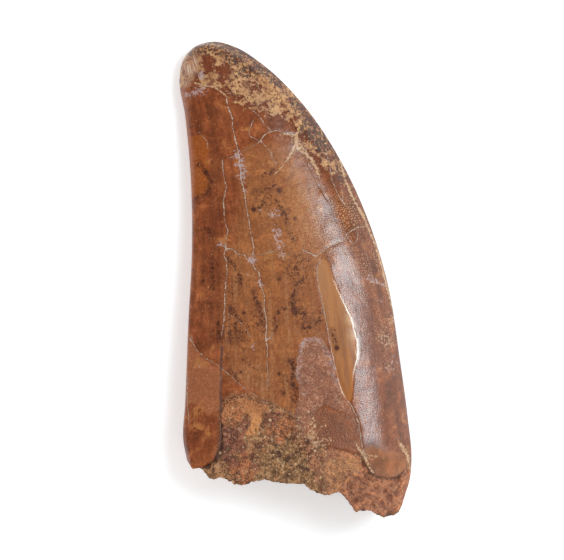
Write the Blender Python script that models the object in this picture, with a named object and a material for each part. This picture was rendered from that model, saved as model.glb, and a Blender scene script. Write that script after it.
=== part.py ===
"""A worn theropod tooth, turned to stone, lying on its flatter face.

The tooth is one solid: a curved blade with a rounded tip and a broken root. Sandstone fills
its open pulp cavity and shows through the broken wall at the root, as a second solid.
+X runs from the straight cutting edge to the bowed one, +Y from the root to the tip.
"""

import math

import bmesh
import bpy
import numpy as np
from mathutils import Matrix, Vector, noise

MM = 0.001  # the sizes below are in millimetres, and the meshes in metres

# The blade's height above and below its cutting edges, at the root and at the tip.
UPPER_RISE = (9.8, 3.1)
UNDER_RISE = (8.8, 2.7)
RISE_BEND = 0.85  # under 1, the blade thickens sooner than in a straight wedge
AXIS_LENGTH = 97.0
TIP_ROUND = 11.0  # length over which the blade closes into its rounded tip
THIN_EDGE = 2.0  # relief fades out where the face is nearer to the edges' level than this
WORN_FLAT = 0.28  # the under face is rubbed flat by this much where it rests

# Where the crest of each face lies, as a share of the way across from the straight edge. The
# upper one moves over on its way from the root to the tip.
UPPER_CREST = (0.72, 0.50)
CREST_MOVES = (0.25, 0.75)  # the shares of the way to the tip between which it moves
UNDER_CREST = 0.52

# How full the faces are on each side of the crest.
STRAIGHT_SIDE_FULLNESS = 1.8
BOWED_SIDE_FULLNESS = 2.7
EDGE_SHARPNESS = 0.78  # 1 would bring the faces together in a knife edge

# The tooth's outline from above: up the straight edge, over the tip, down the bowed edge.
SIDE_OUTLINE = [
    (-21.65, -36.75), (-22.39, -32.95), (-22.05, -25.35), (-21.45, -9.35), (-20.75, 6.05),
    (-21.11, 21.25), (-22.25, 32.85), (-23.31, 40.25), (-22.49, 43.95), (-20.45, 46.25),
    (-16.45, 47.45), (-12.05, 46.35), (-6.45, 42.75), (1.15, 35.25), (9.55, 22.65),
    (14.95, 10.65), (18.65, -1.75), (20.95, -16.35), (22.55, -28.35), (23.27, -36.35),
    (23.01, -39.95), (21.55, -44.95),
]
TIP = (-20.45, 46.25)
ROOT_OUTLINE = [
    (-21.65, -36.75), (-20.45, -38.20), (-18.95, -38.15), (-16.85, -40.15), (-14.85, -39.95),
    (-11.05, -41.30), (-7.05, -40.25), (-1.05, -40.90), (1.35, -40.85), (3.15, -42.05),
    (6.35, -43.05), (8.55, -42.50), (10.75, -44.75), (12.15, -46.45), (13.15, -46.05),
    (17.75, -47.45), (20.35, -46.95), (21.55, -44.95),
]
ROOT_REACH = 14.0  # how far up the tooth the rows still follow the broken root
BREAK_HOLLOW = 1.6  # how far the break is hollowed between the two faces
BREAK_SLANT = 0.9  # how much shorter the under face is
BREAK_WANDER = 0.8  # the share of the slant that comes and goes along the break
BREAK_LUMP_SIZE = 3.5

# A worn facet beside the bowed edge. It starts level with the face at its inner side, stands
# more and more over the face's curve, and drops back to it at its outer side.
FACET_HEIGHTS = (-25.4, -23.6, -19.8, -14.4, -8.0, -2.0, 2.0, 3.9)
FACET_INNER = (10.2, 9.0, 7.7, 6.7, 5.4, 4.5, 4.6, 5.4)
FACET_OUTER = (10.4, 11.2, 11.6, 12.4, 11.4, 8.8, 7.2, 5.8)
FACET_RISE = 0.55
FACET_END_RUN = 4.0

# The enamel's lower border at the bowed side, from the facet round to the bowed edge.
# The bare root below it is sunk, most of all towards the break.
ENAMEL_BORDER_ACROSS = (8.0, 10.8, 12.4, 13.0, 14.2, 14.8, 16.6, 19.0, 20.6, 21.8, 23.4)
ENAMEL_BORDER_HEIGHT = (-24.5, -25.4, -28.8, -32.4, -36.8, -38.5, -39.7, -40.0, -39.8, -38.2, -34.0)
ROOT_SINK_HEIGHTS = (-38.0, -32.0)
ROOT_SINK = (1.0, 0.4)
ROOT_SINK_ACROSS = (5.0, 11.0)  # the sinking starts and is whole here
STEP_RUN = 0.7  # the breadth of a step down

# The broken wall at the root, seen from above, and the pulp cavity behind it.
WINDOW_OUTLINE = [
    (-18.95, -38.35), (-18.05, -37.75), (-16.65, -36.75), (-15.85, -35.75), (-15.05, -34.15),
    (-14.65, -31.75), (-14.95, -27.35), (-14.40, -25.90), (-13.60, -24.80), (-12.10, -24.10),
    (-10.10, -23.95), (-8.50, -24.40), (-6.90, -25.00), (-5.05, -25.60), (-2.85, -26.85),
    (-0.25, -27.75), (0.35, -29.75), (0.75, -31.75), (2.15, -32.55), (4.15, -34.15),
    (4.95, -36.75), (5.15, -40.35), (5.35, -50.0), (-19.85, -50.0),
]
WINDOW_FLOOR = 9.0
WINDOW_TOP = 24.0
CAVITY_CENTRE = (-2.5, 8.6)
CAVITY_HALF_BREADTH = 15.5
CAVITY_HALF_HEIGHT = 5.0
CAVITY_ROOT_END = -52.0
CAVITY_TIP_END = -8.0
CAVITY_TAPER = 0.12  # its breadth at the tip end, as a share of that at the root end
MATRIX_GAP = 0.15  # left on each side of the joint between tooth and sandstone
MATRIX_SINK = 0.45
MATRIX_LUMPS = 0.75
MATRIX_LUMP_SIZE = 4.5

# Mesh counts.
ROWS = 48
COLUMNS = 40
BREAK_STEPS = 6
CAVITY_SIDES = 28
CURVE_STEPS = 24
OUTLINE_SAMPLES = 1600
TIP_CROWDING = 1.35  # over 1, the rows close up towards the tip
SHARP_EDGE = math.radians(40)
WELD = 0.00001  # metres

TOOTH_COLOUR = (0.32, 0.115, 0.045, 1.0)
SANDSTONE_COLOUR = (0.36, 0.22, 0.11, 1.0)


def smooth_line(points, count):
    """Places equally far apart on a smooth curve through the points."""
    points = np.array(points, float)
    steps = np.diff(points, axis=0)
    lengths = np.linalg.norm(steps, axis=1)[:, None]
    slopes = steps / lengths
    inner = (slopes[:-1] * lengths[1:] + slopes[1:] * lengths[:-1]) / (lengths[1:] + lengths[:-1])
    tangents = np.vstack([slopes[:1], inner, slopes[-1:]])
    u = np.linspace(0, 1, CURVE_STEPS, endpoint=False)[:, None]
    runs = []
    for i, length in enumerate(lengths):
        a, b = points[i], points[i + 1]
        runs.append(
            a * (1 + 2 * u) * (1 - u) ** 2
            + b * u**2 * (3 - 2 * u)
            + length * (tangents[i] * u * (1 - u) ** 2 - tangents[i + 1] * u**2 * (1 - u))
        )
    dense = np.vstack([*runs, points[-1:]])
    return spread_evenly(dense, np.linspace(0, 1, count))


def spread_evenly(line, shares):
    """The places at these shares of the line's length."""
    walked = np.concatenate([[0], np.cumsum(np.linalg.norm(np.diff(line, axis=0), axis=1))])
    at = np.asarray(shares) * walked[-1]
    return np.stack([np.interp(at, walked, line[:, i]) for i in range(2)], axis=1)


def margins():
    """The straight edge and the bowed edge, each from the root to the tip."""
    outline = smooth_line(SIDE_OUTLINE, OUTLINE_SAMPLES)
    apex = int(np.argmin(np.linalg.norm(outline - np.array(TIP), axis=1)))
    return outline[: apex + 1], outline[apex:][::-1]


def plan_grid(rows, columns):
    """Places over the whole tooth seen from above, and each row's share of the way to the tip.

    Rows close up towards the rounded tip, and columns towards both cutting edges.
    """
    up = 1 - (1 - np.linspace(0, 1, rows + 1)) ** TIP_CROWDING
    across = (1 - np.cos(np.pi * np.linspace(0, 1, columns + 1))) / 2
    straight, bowed = margins()
    left, right = spread_evenly(straight, up), spread_evenly(bowed, up)
    share = across[None, :, None]
    plan = left[:, None] * (1 - share) + right[:, None] * share
    root = smooth_line(ROOT_OUTLINE, OUTLINE_SAMPLES)
    broken = spread_evenly(root, across) - plan[0]
    return plan + near_root(up)[:, None, None] * broken, up, across


def near_root(up):
    """1 at the broken root, and 0 past its reach."""
    return np.clip(1 - up * AXIS_LENGTH / ROOT_REACH, 0, 1) ** 2


def rise(ends, up):
    """A face's height over the cutting edges along its crest, from the root to the tip."""
    from_tip = (1 - up) * AXIS_LENGTH
    body = ends[1] + (ends[0] - ends[1]) * (from_tip / AXIS_LENGTH) ** RISE_BEND
    return body * np.sqrt(1 - (1 - np.clip(from_tip / TIP_ROUND, 0, 1)) ** 2)


def lens(across, crest):
    """A face's cross-section: 0 at both cutting edges and 1 at the crest."""
    to_crest = np.where(across < crest, across / crest, (1 - across) / (1 - crest))
    fullness = np.where(across < crest, STRAIGHT_SIDE_FULLNESS, BOWED_SIDE_FULLNESS)
    return (1 - (1 - to_crest) ** fullness) ** EDGE_SHARPNESS


def ease(value):
    """Runs from 0 to 1 as the value does, with level ends."""
    value = np.clip(value, 0, 1)
    return value * value * (3 - 2 * value)


def worn_relief(x, y):
    """What the facet adds to the upper face, and what the bare root takes from it."""
    inner = np.interp(y, FACET_HEIGHTS, FACET_INNER)
    outer = np.interp(y, FACET_HEIGHTS, FACET_OUTER)
    outward = np.clip((x - inner) / np.maximum(outer - inner, STEP_RUN), 0, 1) ** 2
    from_root, from_top = y - FACET_HEIGHTS[0], FACET_HEIGHTS[-1] - y
    ends = ease(from_root / FACET_END_RUN) * ease(from_top / FACET_END_RUN)
    raised = FACET_RISE * outward * ends * ease((outer - x) / STEP_RUN + 0.5)
    border = np.interp(x, ENAMEL_BORDER_ACROSS, ENAMEL_BORDER_HEIGHT)
    start, whole = ROOT_SINK_ACROSS
    on_root = ease((border - y) / STEP_RUN + 0.5) * ease((x - start) / (whole - start))
    return raised - np.interp(y, ROOT_SINK_HEIGHTS, ROOT_SINK) * on_root


def sandy_relief(x, y):
    """The sandstone's lumps, a little below the tooth's own face."""
    return MATRIX_LUMPS * lumps(x, y, MATRIX_LUMP_SIZE) - MATRIX_SINK


def lumps(across, along, size):
    """A bumpy field between about -1 and 1 that is the same on every run."""
    places = np.stack([np.ravel(across), np.ravel(along)], axis=1) / size
    values = [noise.fractal(Vector((*place, 0)), 1.0, 2.0, 3) for place in places]
    return np.array(values).reshape(np.shape(across))


def face_heights(x, y, up, across, relief):
    """The upper and under faces' heights at each place."""
    under_rise = rise(UNDER_RISE, up)
    full_rise = np.interp(TIP_ROUND, [0, AXIS_LENGTH], UNDER_RISE[::-1])
    level = (np.maximum(under_rise, full_rise) - WORN_FLAT)[:, None]
    moved = ease((up - CREST_MOVES[0]) / (CREST_MOVES[1] - CREST_MOVES[0]))
    crest = UPPER_CREST[0] * (1 - moved) + UPPER_CREST[1] * moved
    height = rise(UPPER_RISE, up)[:, None] * lens(across, crest[:, None])
    inside = np.clip(height / THIN_EDGE, 0, 1)
    upper = level + height + inside * relief(x, y)
    under = level - under_rise[:, None] * lens(across, UNDER_CREST)
    return upper, np.maximum(under, 0.0), inside


def broken_root(x, y, upper, under, under_y, across):
    """The rows of the break, from the upper face's first row down to the under face's."""
    down = np.linspace(0, 1, BREAK_STEPS + 1)[:, None]
    z = upper[0] * (1 - down) + under[0] * down
    wide = np.broadcast_to(x[0], z.shape)
    hollow = BREAK_HOLLOW * np.sin(np.pi * down) * np.sin(np.pi * across) ** 0.5
    rough = (1 + lumps(wide, z, BREAK_LUMP_SIZE)) / 2
    return wide, y[0] * (1 - down) + under_y[0] * down + hollow * rough, z


def quads(grid):
    """Four-sided faces between the neighbours in a grid of vertex numbers."""
    corners = [grid[:-1, :-1], grid[:-1, 1:], grid[1:, 1:], grid[1:, :-1]]
    return np.stack(corners, axis=-1).reshape(-1, 4)


def blade(name, relief):
    """The whole closed blade as one object: its two faces, lofted row by row, and the break."""
    plan, up, across = plan_grid(ROWS, COLUMNS)
    x, y = plan[..., 0], plan[..., 1]
    upper, under, inside = face_heights(x, y, up, across, relief)
    slant = near_root(up)[:, None] * inside * BREAK_SLANT
    under_y = y + slant * (1 + BREAK_WANDER * lumps(x, y, BREAK_LUMP_SIZE))
    broken = broken_root(x, y, upper, under, under_y, across)

    # The faces share their vertices along both cutting edges, the tip and the break.
    upper_grid = np.arange(upper.size).reshape(upper.shape)
    upper_grid[-1] = upper_grid[-1, 0]
    under_grid = upper_grid + upper.size
    under_grid[:, [0, -1]] = upper_grid[:, [0, -1]]
    under_grid[-1] = upper_grid[-1, 0]
    break_grid = np.arange(broken[2].size).reshape(broken[2].shape) + 2 * upper.size
    break_grid[0], break_grid[-1] = upper_grid[0], under_grid[0]
    break_grid[:, 0], break_grid[:, -1] = upper_grid[0, 0], upper_grid[0, -1]
    faces = [*quads(upper_grid), *quads(under_grid)[:, ::-1], *quads(break_grid)[:, ::-1]]

    sheets = [(x, y, upper), (x, under_y, under), broken]
    points = np.vstack([np.stack(sheet, axis=-1).reshape(-1, 3) for sheet in sheets]) * MM
    shape = bmesh.new()
    vertices = [shape.verts.new(point) for point in points]
    for face in faces:
        corners = list(dict.fromkeys(int(corner) for corner in face))
        if len(corners) > 2:
            shape.faces.new([vertices[corner] for corner in corners])
    bmesh.ops.delete(shape, geom=[v for v in shape.verts if not v.link_faces], context="VERTS")
    mesh = bpy.data.meshes.new(name)
    shape.to_mesh(mesh)
    shape.free()
    return link(bpy.data.objects.new(name, mesh))


def link(obj, cutter=False):
    """Puts an object in the tooth's collection, or in the cutters'."""
    collections[cutter].objects.link(obj)
    obj.hide_render = cutter
    if cutter:
        obj.display_type = "WIRE"
    return obj


def window(grow):
    """The broken wall's outline as a slab that passes up through the upper face."""
    curve = bpy.data.curves.new("window", "CURVE")
    curve.dimensions, curve.fill_mode = "2D", "BOTH"
    curve.extrude = (WINDOW_TOP - WINDOW_FLOOR + grow) / 2 * MM
    curve.offset = grow * MM
    spline = curve.splines.new("POLY")
    spline.points.add(len(WINDOW_OUTLINE) - 1)
    for point, (x, y) in zip(spline.points, WINDOW_OUTLINE):
        point.co = (x * MM, y * MM, 0, 1)
    spline.use_cyclic_u = True
    obj = link(bpy.data.objects.new("window", curve), cutter=True)
    obj.location.z = (WINDOW_TOP + WINDOW_FLOOR - grow) / 2 * MM
    return as_mesh(obj)


def as_mesh(obj):
    """A mesh object in place of a curve, with its caps joined to its sides."""
    bpy.context.view_layer.update()
    graph = bpy.context.evaluated_depsgraph_get()
    mesh = bpy.data.meshes.new_from_object(obj.evaluated_get(graph))
    shape = bmesh.new()
    shape.from_mesh(mesh)
    bmesh.ops.remove_doubles(shape, verts=shape.verts, dist=WELD)
    bmesh.ops.recalc_face_normals(shape, faces=shape.faces)
    shape.to_mesh(mesh)
    shape.free()
    made = bpy.data.objects.new(obj.name, mesh)
    made.matrix_world = obj.matrix_world
    bpy.data.objects.remove(obj)
    return link(made, cutter=True)


def cavity(grow):
    """The pulp cavity: a flattened cone that opens at the root, with the broken wall's slab."""
    length = CAVITY_TIP_END - CAVITY_ROOT_END
    bpy.ops.mesh.primitive_cone_add(
        vertices=CAVITY_SIDES, radius1=1, radius2=CAVITY_TAPER, depth=(length + grow) * MM
    )
    cone = bpy.context.object
    cone.name = "cavity"
    for holder in list(cone.users_collection):
        holder.objects.unlink(cone)
    link(cone, cutter=True)
    cone.data.transform(
        Matrix.Rotation(-math.pi / 2, 4, "X")
        @ Matrix.Diagonal(
            ((CAVITY_HALF_BREADTH + grow) * MM, (CAVITY_HALF_HEIGHT + grow) * MM, 1, 1)
        )
    )
    cone.location = Vector(
        (CAVITY_CENTRE[0], (CAVITY_ROOT_END + CAVITY_TIP_END + grow) / 2, CAVITY_CENTRE[1])
    ) * MM
    combine(cone, window(grow), "UNION")
    return cone


def combine(obj, other, operation):
    """Cuts or joins an object with another by a Boolean modifier."""
    step = obj.modifiers.new(operation.lower(), "BOOLEAN")
    step.operation, step.object, step.solver = operation, other, "EXACT"


def finish(obj, colour, roughness):
    """One plain material in the part's own colour, and smooth shading over shallow edges."""
    material = bpy.data.materials.new(obj.name)
    material.use_nodes = True
    surface = material.node_tree.nodes["Principled BSDF"]
    surface.inputs["Base Color"].default_value = colour
    surface.inputs["Roughness"].default_value = roughness
    surface.inputs["Metallic"].default_value = 0.0
    obj.data.materials.append(material)
    obj.data.shade_smooth()
    obj.data.set_sharp_from_angle(angle=SHARP_EDGE)


for leftover in list(bpy.data.objects):
    bpy.data.objects.remove(leftover)
collections = {
    False: bpy.data.collections.new("fossil_tooth"),
    True: bpy.data.collections.new("cutters"),
}
for collection in collections.values():
    bpy.context.scene.collection.children.link(collection)

tooth = blade("tooth", worn_relief)
combine(tooth, cavity(MATRIX_GAP), "DIFFERENCE")
finish(tooth, TOOTH_COLOUR, 0.35)

sandstone = blade("sandstone", sandy_relief)
combine(sandstone, cavity(-MATRIX_GAP), "INTERSECT")
finish(sandstone, SANDSTONE_COLOUR, 0.9)
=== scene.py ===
import math

import bpy
import numpy as np
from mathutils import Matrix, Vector, noise


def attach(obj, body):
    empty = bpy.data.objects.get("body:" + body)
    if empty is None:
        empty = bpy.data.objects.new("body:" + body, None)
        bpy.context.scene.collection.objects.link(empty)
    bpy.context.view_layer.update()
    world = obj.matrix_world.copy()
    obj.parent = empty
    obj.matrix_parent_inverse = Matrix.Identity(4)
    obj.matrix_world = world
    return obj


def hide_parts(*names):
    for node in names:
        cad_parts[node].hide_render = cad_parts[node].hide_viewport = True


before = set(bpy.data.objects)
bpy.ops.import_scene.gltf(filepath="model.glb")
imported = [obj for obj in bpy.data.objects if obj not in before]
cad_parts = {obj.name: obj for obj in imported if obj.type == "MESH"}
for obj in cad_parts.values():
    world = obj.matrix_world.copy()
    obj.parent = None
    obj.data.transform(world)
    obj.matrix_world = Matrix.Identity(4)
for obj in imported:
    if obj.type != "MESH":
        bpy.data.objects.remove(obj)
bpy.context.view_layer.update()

# THE TOOTH
# One curved blade of tooth turned to stone: brown enamel over honey-coloured dentine, worn
# round at the tip and broken off at the root. It lies on its flatter face, and its shape is
# lofted in rows from the root to the tip. Sizes are in millimetres.
MM = 0.001
UPPER_RISE = (9.8, 3.1)
UNDER_RISE = (8.8, 2.7)
RISE_BEND = 0.85
AXIS_LENGTH = 97.0
TIP_ROUND = 11.0
THIN_EDGE = 2.0
WORN_FLAT = 0.28
UPPER_CREST = (0.72, 0.50)
CREST_MOVES = (0.25, 0.75)
UNDER_CREST = 0.52
STRAIGHT_SIDE_FULLNESS = 1.8
BOWED_SIDE_FULLNESS = 2.7
EDGE_SHARPNESS = 0.78
SIDE_OUTLINE = [
    (-21.65, -36.75), (-22.39, -32.95), (-22.05, -25.35), (-21.45, -9.35), (-20.75, 6.05),
    (-21.11, 21.25), (-22.25, 32.85), (-23.31, 40.25), (-22.49, 43.95), (-20.45, 46.25),
    (-16.45, 47.45), (-12.05, 46.35), (-6.45, 42.75), (1.15, 35.25), (9.55, 22.65),
    (14.95, 10.65), (18.65, -1.75), (20.95, -16.35), (22.55, -28.35), (23.27, -36.35),
    (23.01, -39.95), (21.55, -44.95),
]
TIP = (-20.45, 46.25)
ROOT_OUTLINE = [
    (-21.65, -36.75), (-20.45, -38.20), (-18.95, -38.15), (-16.85, -40.15), (-14.85, -39.95),
    (-11.05, -41.30), (-7.05, -40.25), (-1.05, -40.90), (1.35, -40.85), (3.15, -42.05),
    (6.35, -43.05), (8.55, -42.50), (10.75, -44.75), (12.15, -46.45), (13.15, -46.05),
    (17.75, -47.45), (20.35, -46.95), (21.55, -44.95),
]
ROOT_REACH = 14.0
BREAK_SLANT = 0.9
BREAK_WANDER = 0.8
BREAK_HOLLOW = 1.6
BREAK_LUMP_SIZE = 3.5
BREAK_RAGS = ((0.30, 1.3), (0.22, 0.5))
OUTLINE_STEPS = 1600
SPLINE_STEPS = 24
# Noise in three octaves, each half as high and half as wide as the one before.
OCTAVES = (1.0, 2.0, 3)


def spread_evenly(line, shares):
    """The places at these shares of the line's length."""
    walked = np.concatenate([[0], np.cumsum(np.linalg.norm(np.diff(line, axis=0), axis=1))])
    at = np.asarray(shares) * walked[-1]
    return np.stack([np.interp(at, walked, line[:, i]) for i in range(2)], axis=1)


def smooth_line(points, count):
    """Places equally far apart on a smooth curve through the points."""
    points = np.array(points, float)
    steps = np.diff(points, axis=0)
    lengths = np.linalg.norm(steps, axis=1)[:, None]
    slopes = steps / lengths
    inner = (slopes[:-1] * lengths[1:] + slopes[1:] * lengths[:-1]) / (lengths[1:] + lengths[:-1])
    tangents = np.vstack([slopes[:1], inner, slopes[-1:]])
    u = np.linspace(0, 1, SPLINE_STEPS, endpoint=False)[:, None]
    runs = []
    for i, length in enumerate(lengths):
        a, b = points[i], points[i + 1]
        runs.append(
            a * (1 + 2 * u) * (1 - u) ** 2
            + b * u**2 * (3 - 2 * u)
            + length * (tangents[i] * u * (1 - u) ** 2 - tangents[i + 1] * u**2 * (1 - u))
        )
    return spread_evenly(np.vstack([*runs, points[-1:]]), np.linspace(0, 1, count))


def ease(value):
    """Runs from 0 to 1 as the value does, with level ends."""
    value = np.clip(value, 0, 1)
    return value * value * (3 - 2 * value)


def lumps(across, along, size, layer=0.0):
    """A bumpy field between about -1 and 1 that is the same on every run.

    Fields that lie over each other take different layers, so that they don't rise and fall
    together.
    """
    places = np.stack([np.ravel(across), np.ravel(along)], axis=1) / size
    values = [noise.fractal(Vector((*place, layer)), *OCTAVES) for place in places]
    return np.array(values).reshape(np.shape(across))


def layered(across, along, first_layer, *fields):
    """Bumpy fields added up, each given as its height and the size of its lumps."""
    return sum(
        height * lumps(across, along, size, first_layer + i) for i, (height, size) in enumerate(fields)
    )


def wandering(x, y, reach, size, first_layer):
    """The places, moved by up to this reach, so that a border drawn on them wanders."""
    across = reach * lumps(x, y, size, first_layer)
    along = reach * lumps(x, y, size, first_layer + 2)
    return x + across, y + along


def near_root(up):
    """1 at the broken root, and 0 past its reach."""
    return np.clip(1 - up * AXIS_LENGTH / ROOT_REACH, 0, 1) ** 2


def blade_plan(up, across):
    """Places seen from above, for shares of the way to the tip and across to the bowed edge."""
    outline = smooth_line(SIDE_OUTLINE, OUTLINE_STEPS)
    apex = int(np.argmin(np.linalg.norm(outline - np.array(TIP), axis=1)))
    left = spread_evenly(outline[: apex + 1], up)
    right = spread_evenly(outline[apex:][::-1], up)
    root = smooth_line(ROOT_OUTLINE, OUTLINE_STEPS)
    ends = np.array([SIDE_OUTLINE[0], SIDE_OUTLINE[-1]])
    broken = spread_evenly(root, across) - (ends[0] + np.outer(across, ends[1] - ends[0]))
    share = across[None, :, None]
    plan = left[:, None] * (1 - share) + right[:, None] * share
    plan = plan + near_root(up)[:, None, None] * broken
    along_break = plan[0, :, 0]
    ragged = layered(along_break, 0 * along_break, 41.0, *BREAK_RAGS)
    return plan[..., 0], plan[..., 1] + near_root(up)[:, None] ** 4 * ragged


def rise(ends, up):
    """A face's height over the cutting edges along its crest, from the root to the tip."""
    from_tip = (1 - up) * AXIS_LENGTH
    body = ends[1] + (ends[0] - ends[1]) * (from_tip / AXIS_LENGTH) ** RISE_BEND
    return body * np.sqrt(1 - (1 - np.clip(from_tip / TIP_ROUND, 0, 1)) ** 2)


def lens(across, crest):
    """A face's cross-section: 0 at both cutting edges and 1 at the crest."""
    to_crest = np.where(across < crest, across / crest, (1 - across) / (1 - crest))
    fullness = np.where(across < crest, STRAIGHT_SIDE_FULLNESS, BOWED_SIDE_FULLNESS)
    return (1 - (1 - to_crest) ** fullness) ** EDGE_SHARPNESS


def blade_heights(up, across):
    """The two faces' smooth heights, and how far relief may show where the blade thins out."""
    under_rise = rise(UNDER_RISE, up)
    full_rise = np.interp(TIP_ROUND, [0, AXIS_LENGTH], UNDER_RISE[::-1])
    level = (np.maximum(under_rise, full_rise) - WORN_FLAT)[:, None]
    moved = ease((up - CREST_MOVES[0]) / (CREST_MOVES[1] - CREST_MOVES[0]))
    crest = UPPER_CREST[0] * (1 - moved) + UPPER_CREST[1] * moved
    height = rise(UPPER_RISE, up)[:, None] * lens(across, crest[:, None])
    depth = under_rise[:, None] * lens(across, UNDER_CREST)
    return level + height, level - depth, np.clip(height / THIN_EDGE, 0, 1)


def line_distance(x, y, points, closed=False):
    """How far each place is from a line, positive on its left or inside a closed one."""
    points = [*points, points[0]] if closed else list(points)
    nearest = np.full(np.shape(x), np.inf)
    side = np.ones(np.shape(x))
    inside = np.zeros(np.shape(x), bool)
    for (ax, ay), (bx, by) in zip(points, points[1:]):
        dx, dy = bx - ax, by - ay
        share = np.clip(((x - ax) * dx + (y - ay) * dy) / (dx * dx + dy * dy), 0, 1)
        ex, ey = x - ax - share * dx, y - ay - share * dy
        distance = np.hypot(ex, ey)
        side = np.where(distance < nearest, np.sign(dx * ey - dy * ex), side)
        nearest = np.minimum(distance, nearest)
        if dy:
            inside ^= ((ay > y) != (by > y)) & (x < ax + (y - ay) * dx / dy)
    return np.where(inside, nearest, -nearest) if closed else nearest * side


# A worn facet beside the crest. It starts level with the enamel at its left side, stays flat
# while the blade curves away below it, and drops back over a rounded corner at its right.
FACET_RIGHT = [
    (5.4, 3.7), (6.6, 2.7), (7.4, 0.2), (8.3, -1.8), (9.2, -3.8), (10.1, -5.8), (11.1, -7.7),
    (11.7, -10.0), (12.3, -12.2), (12.6, -14.4), (12.5, -16.4), (11.9, -17.8), (11.5, -20.5),
    (11.1, -23.9), (10.6, -25.2),
]
FACET_LEFT = [
    (10.6, -25.2), (9.5, -23.9), (8.6, -22.4), (8.0, -18.2), (7.3, -15.2), (6.6, -12.0),
    (6.2, -9.1), (5.7, -6.9), (5.1, -3.8), (4.5, -1.0), (4.3, 1.7), (5.4, 3.7),
]
FACET = FACET_RIGHT[:-1] + FACET_LEFT[:-1]
FACET_RISE = 0.31
FACET_FULL_BREADTH = 5.0
FACET_CORNER = 0.60
FACET_SHOULDER = 3.4
FACET_WEAR = 0.8
# The slightly flattened strip beside it, which gives the bowed side its broad shine.
FLAT_STRIP = [
    (9.8, 4.6), (10.6, 1.6), (11.9, -4.4), (13.0, -10.4), (13.8, -16.4), (14.3, -22.4),
    (14.7, -28.4), (15.2, -34.4),
]
FLAT_BREADTH = 3.3
FLAT_DEPTH = 0.27
FLAT_RUN_IN = 6.0

# A pinkish crust of fine sediment left on the middle of the root.
CRUST = [
    (0.7, -13.8), (1.7, -12.2), (3.5, -11.8), (5.0, -12.4), (6.0, -14.2), (7.0, -15.4),
    (7.6, -17.4), (8.2, -20.2), (8.7, -22.4), (9.5, -23.8), (10.8, -25.2), (10.0, -26.6),
    (8.0, -26.4), (6.0, -25.2), (4.2, -26.4), (2.6, -28.4), (1.6, -30.8), (0.4, -29.8),
    (-0.1, -27.7), (0.1, -26.2), (0.8, -23.8), (0.6, -21.4), (-0.2, -19.2), (0.3, -17.4),
]
CRUST_HEIGHT = 0.12
CRUST_FOOT = -26.5
CRUST_RUN_OUT = 3.5
CRUST_LUMPS = (0.05, 0.9)
CRUST_EDGE = 0.4

# Where the enamel has come off the root: from its left border round a rounded lip.
BARE_ROOT = [
    (4.5, -33.4), (7.0, -33.8), (10.0, -34.4), (13.2, -35.4), (13.7, -37.1), (14.4, -38.3),
    (15.7, -39.2), (17.0, -39.8), (18.6, -39.8), (19.8, -39.9), (20.7, -39.5), (21.9, -38.3),
    (23.4, -36.4), (26.0, -50.4), (4.5, -50.4),
]
BARE_DEPTH = 0.95
BARE_EDGE = 0.8
BARE_GRIT = ((0.16, 1.1), (0.22, 4.0))
CLODS = ((1.0, 2.4), (0.3, 0.9))
CLOD_HEIGHT = 0.55
CLODS_FROM = (6.0, -33.0)
CLODS_RUN_IN = (5.0, 4.0)
WORN_ROOT = [
    (3.0, -13.4), (7.0, -15.2), (10.8, -25.0), (11.4, -26.2), (12.0, -27.4), (12.4, -28.8),
    (12.8, -30.4), (13.0, -32.4), (13.4, -34.4), (13.2, -35.4), (10.0, -34.4), (7.0, -33.8),
    (4.5, -33.4), (1.0, -31.8),
]
WORN_DEPTH = 0.22
WORN_EDGE = 0.5

# The broken wall of the root, which shows the sandstone inside.
WINDOW = [
    (-18.95, -38.35), (-18.05, -37.75), (-16.65, -36.75), (-15.85, -35.75), (-15.05, -34.15),
    (-14.65, -31.75), (-14.95, -27.35), (-14.40, -25.90), (-13.60, -24.80), (-12.10, -24.10),
    (-10.10, -23.95), (-8.50, -24.40), (-6.90, -25.00), (-5.05, -25.60), (-2.85, -26.85),
    (-0.25, -27.75), (0.35, -29.75), (0.75, -31.75), (2.15, -32.55), (4.15, -34.15),
    (4.95, -36.75), (5.15, -40.35), (5.35, -50.0), (-19.85, -50.0),
]
WINDOW_DEPTH = 2.5
WINDOW_RUN = 0.45
MOUTH_CENTRE = (-2.5, 8.6)
MOUTH_HALF = (12.1, 3.9)
MOUTH_SIDES = (-18.9, 5.3)
MOUTH_TOP = 30.0
MOUTH_DEPTH = 2.5
MOUTH_SHOULDER = 11.6
MOUTH_ARC_STEPS = 40

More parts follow.
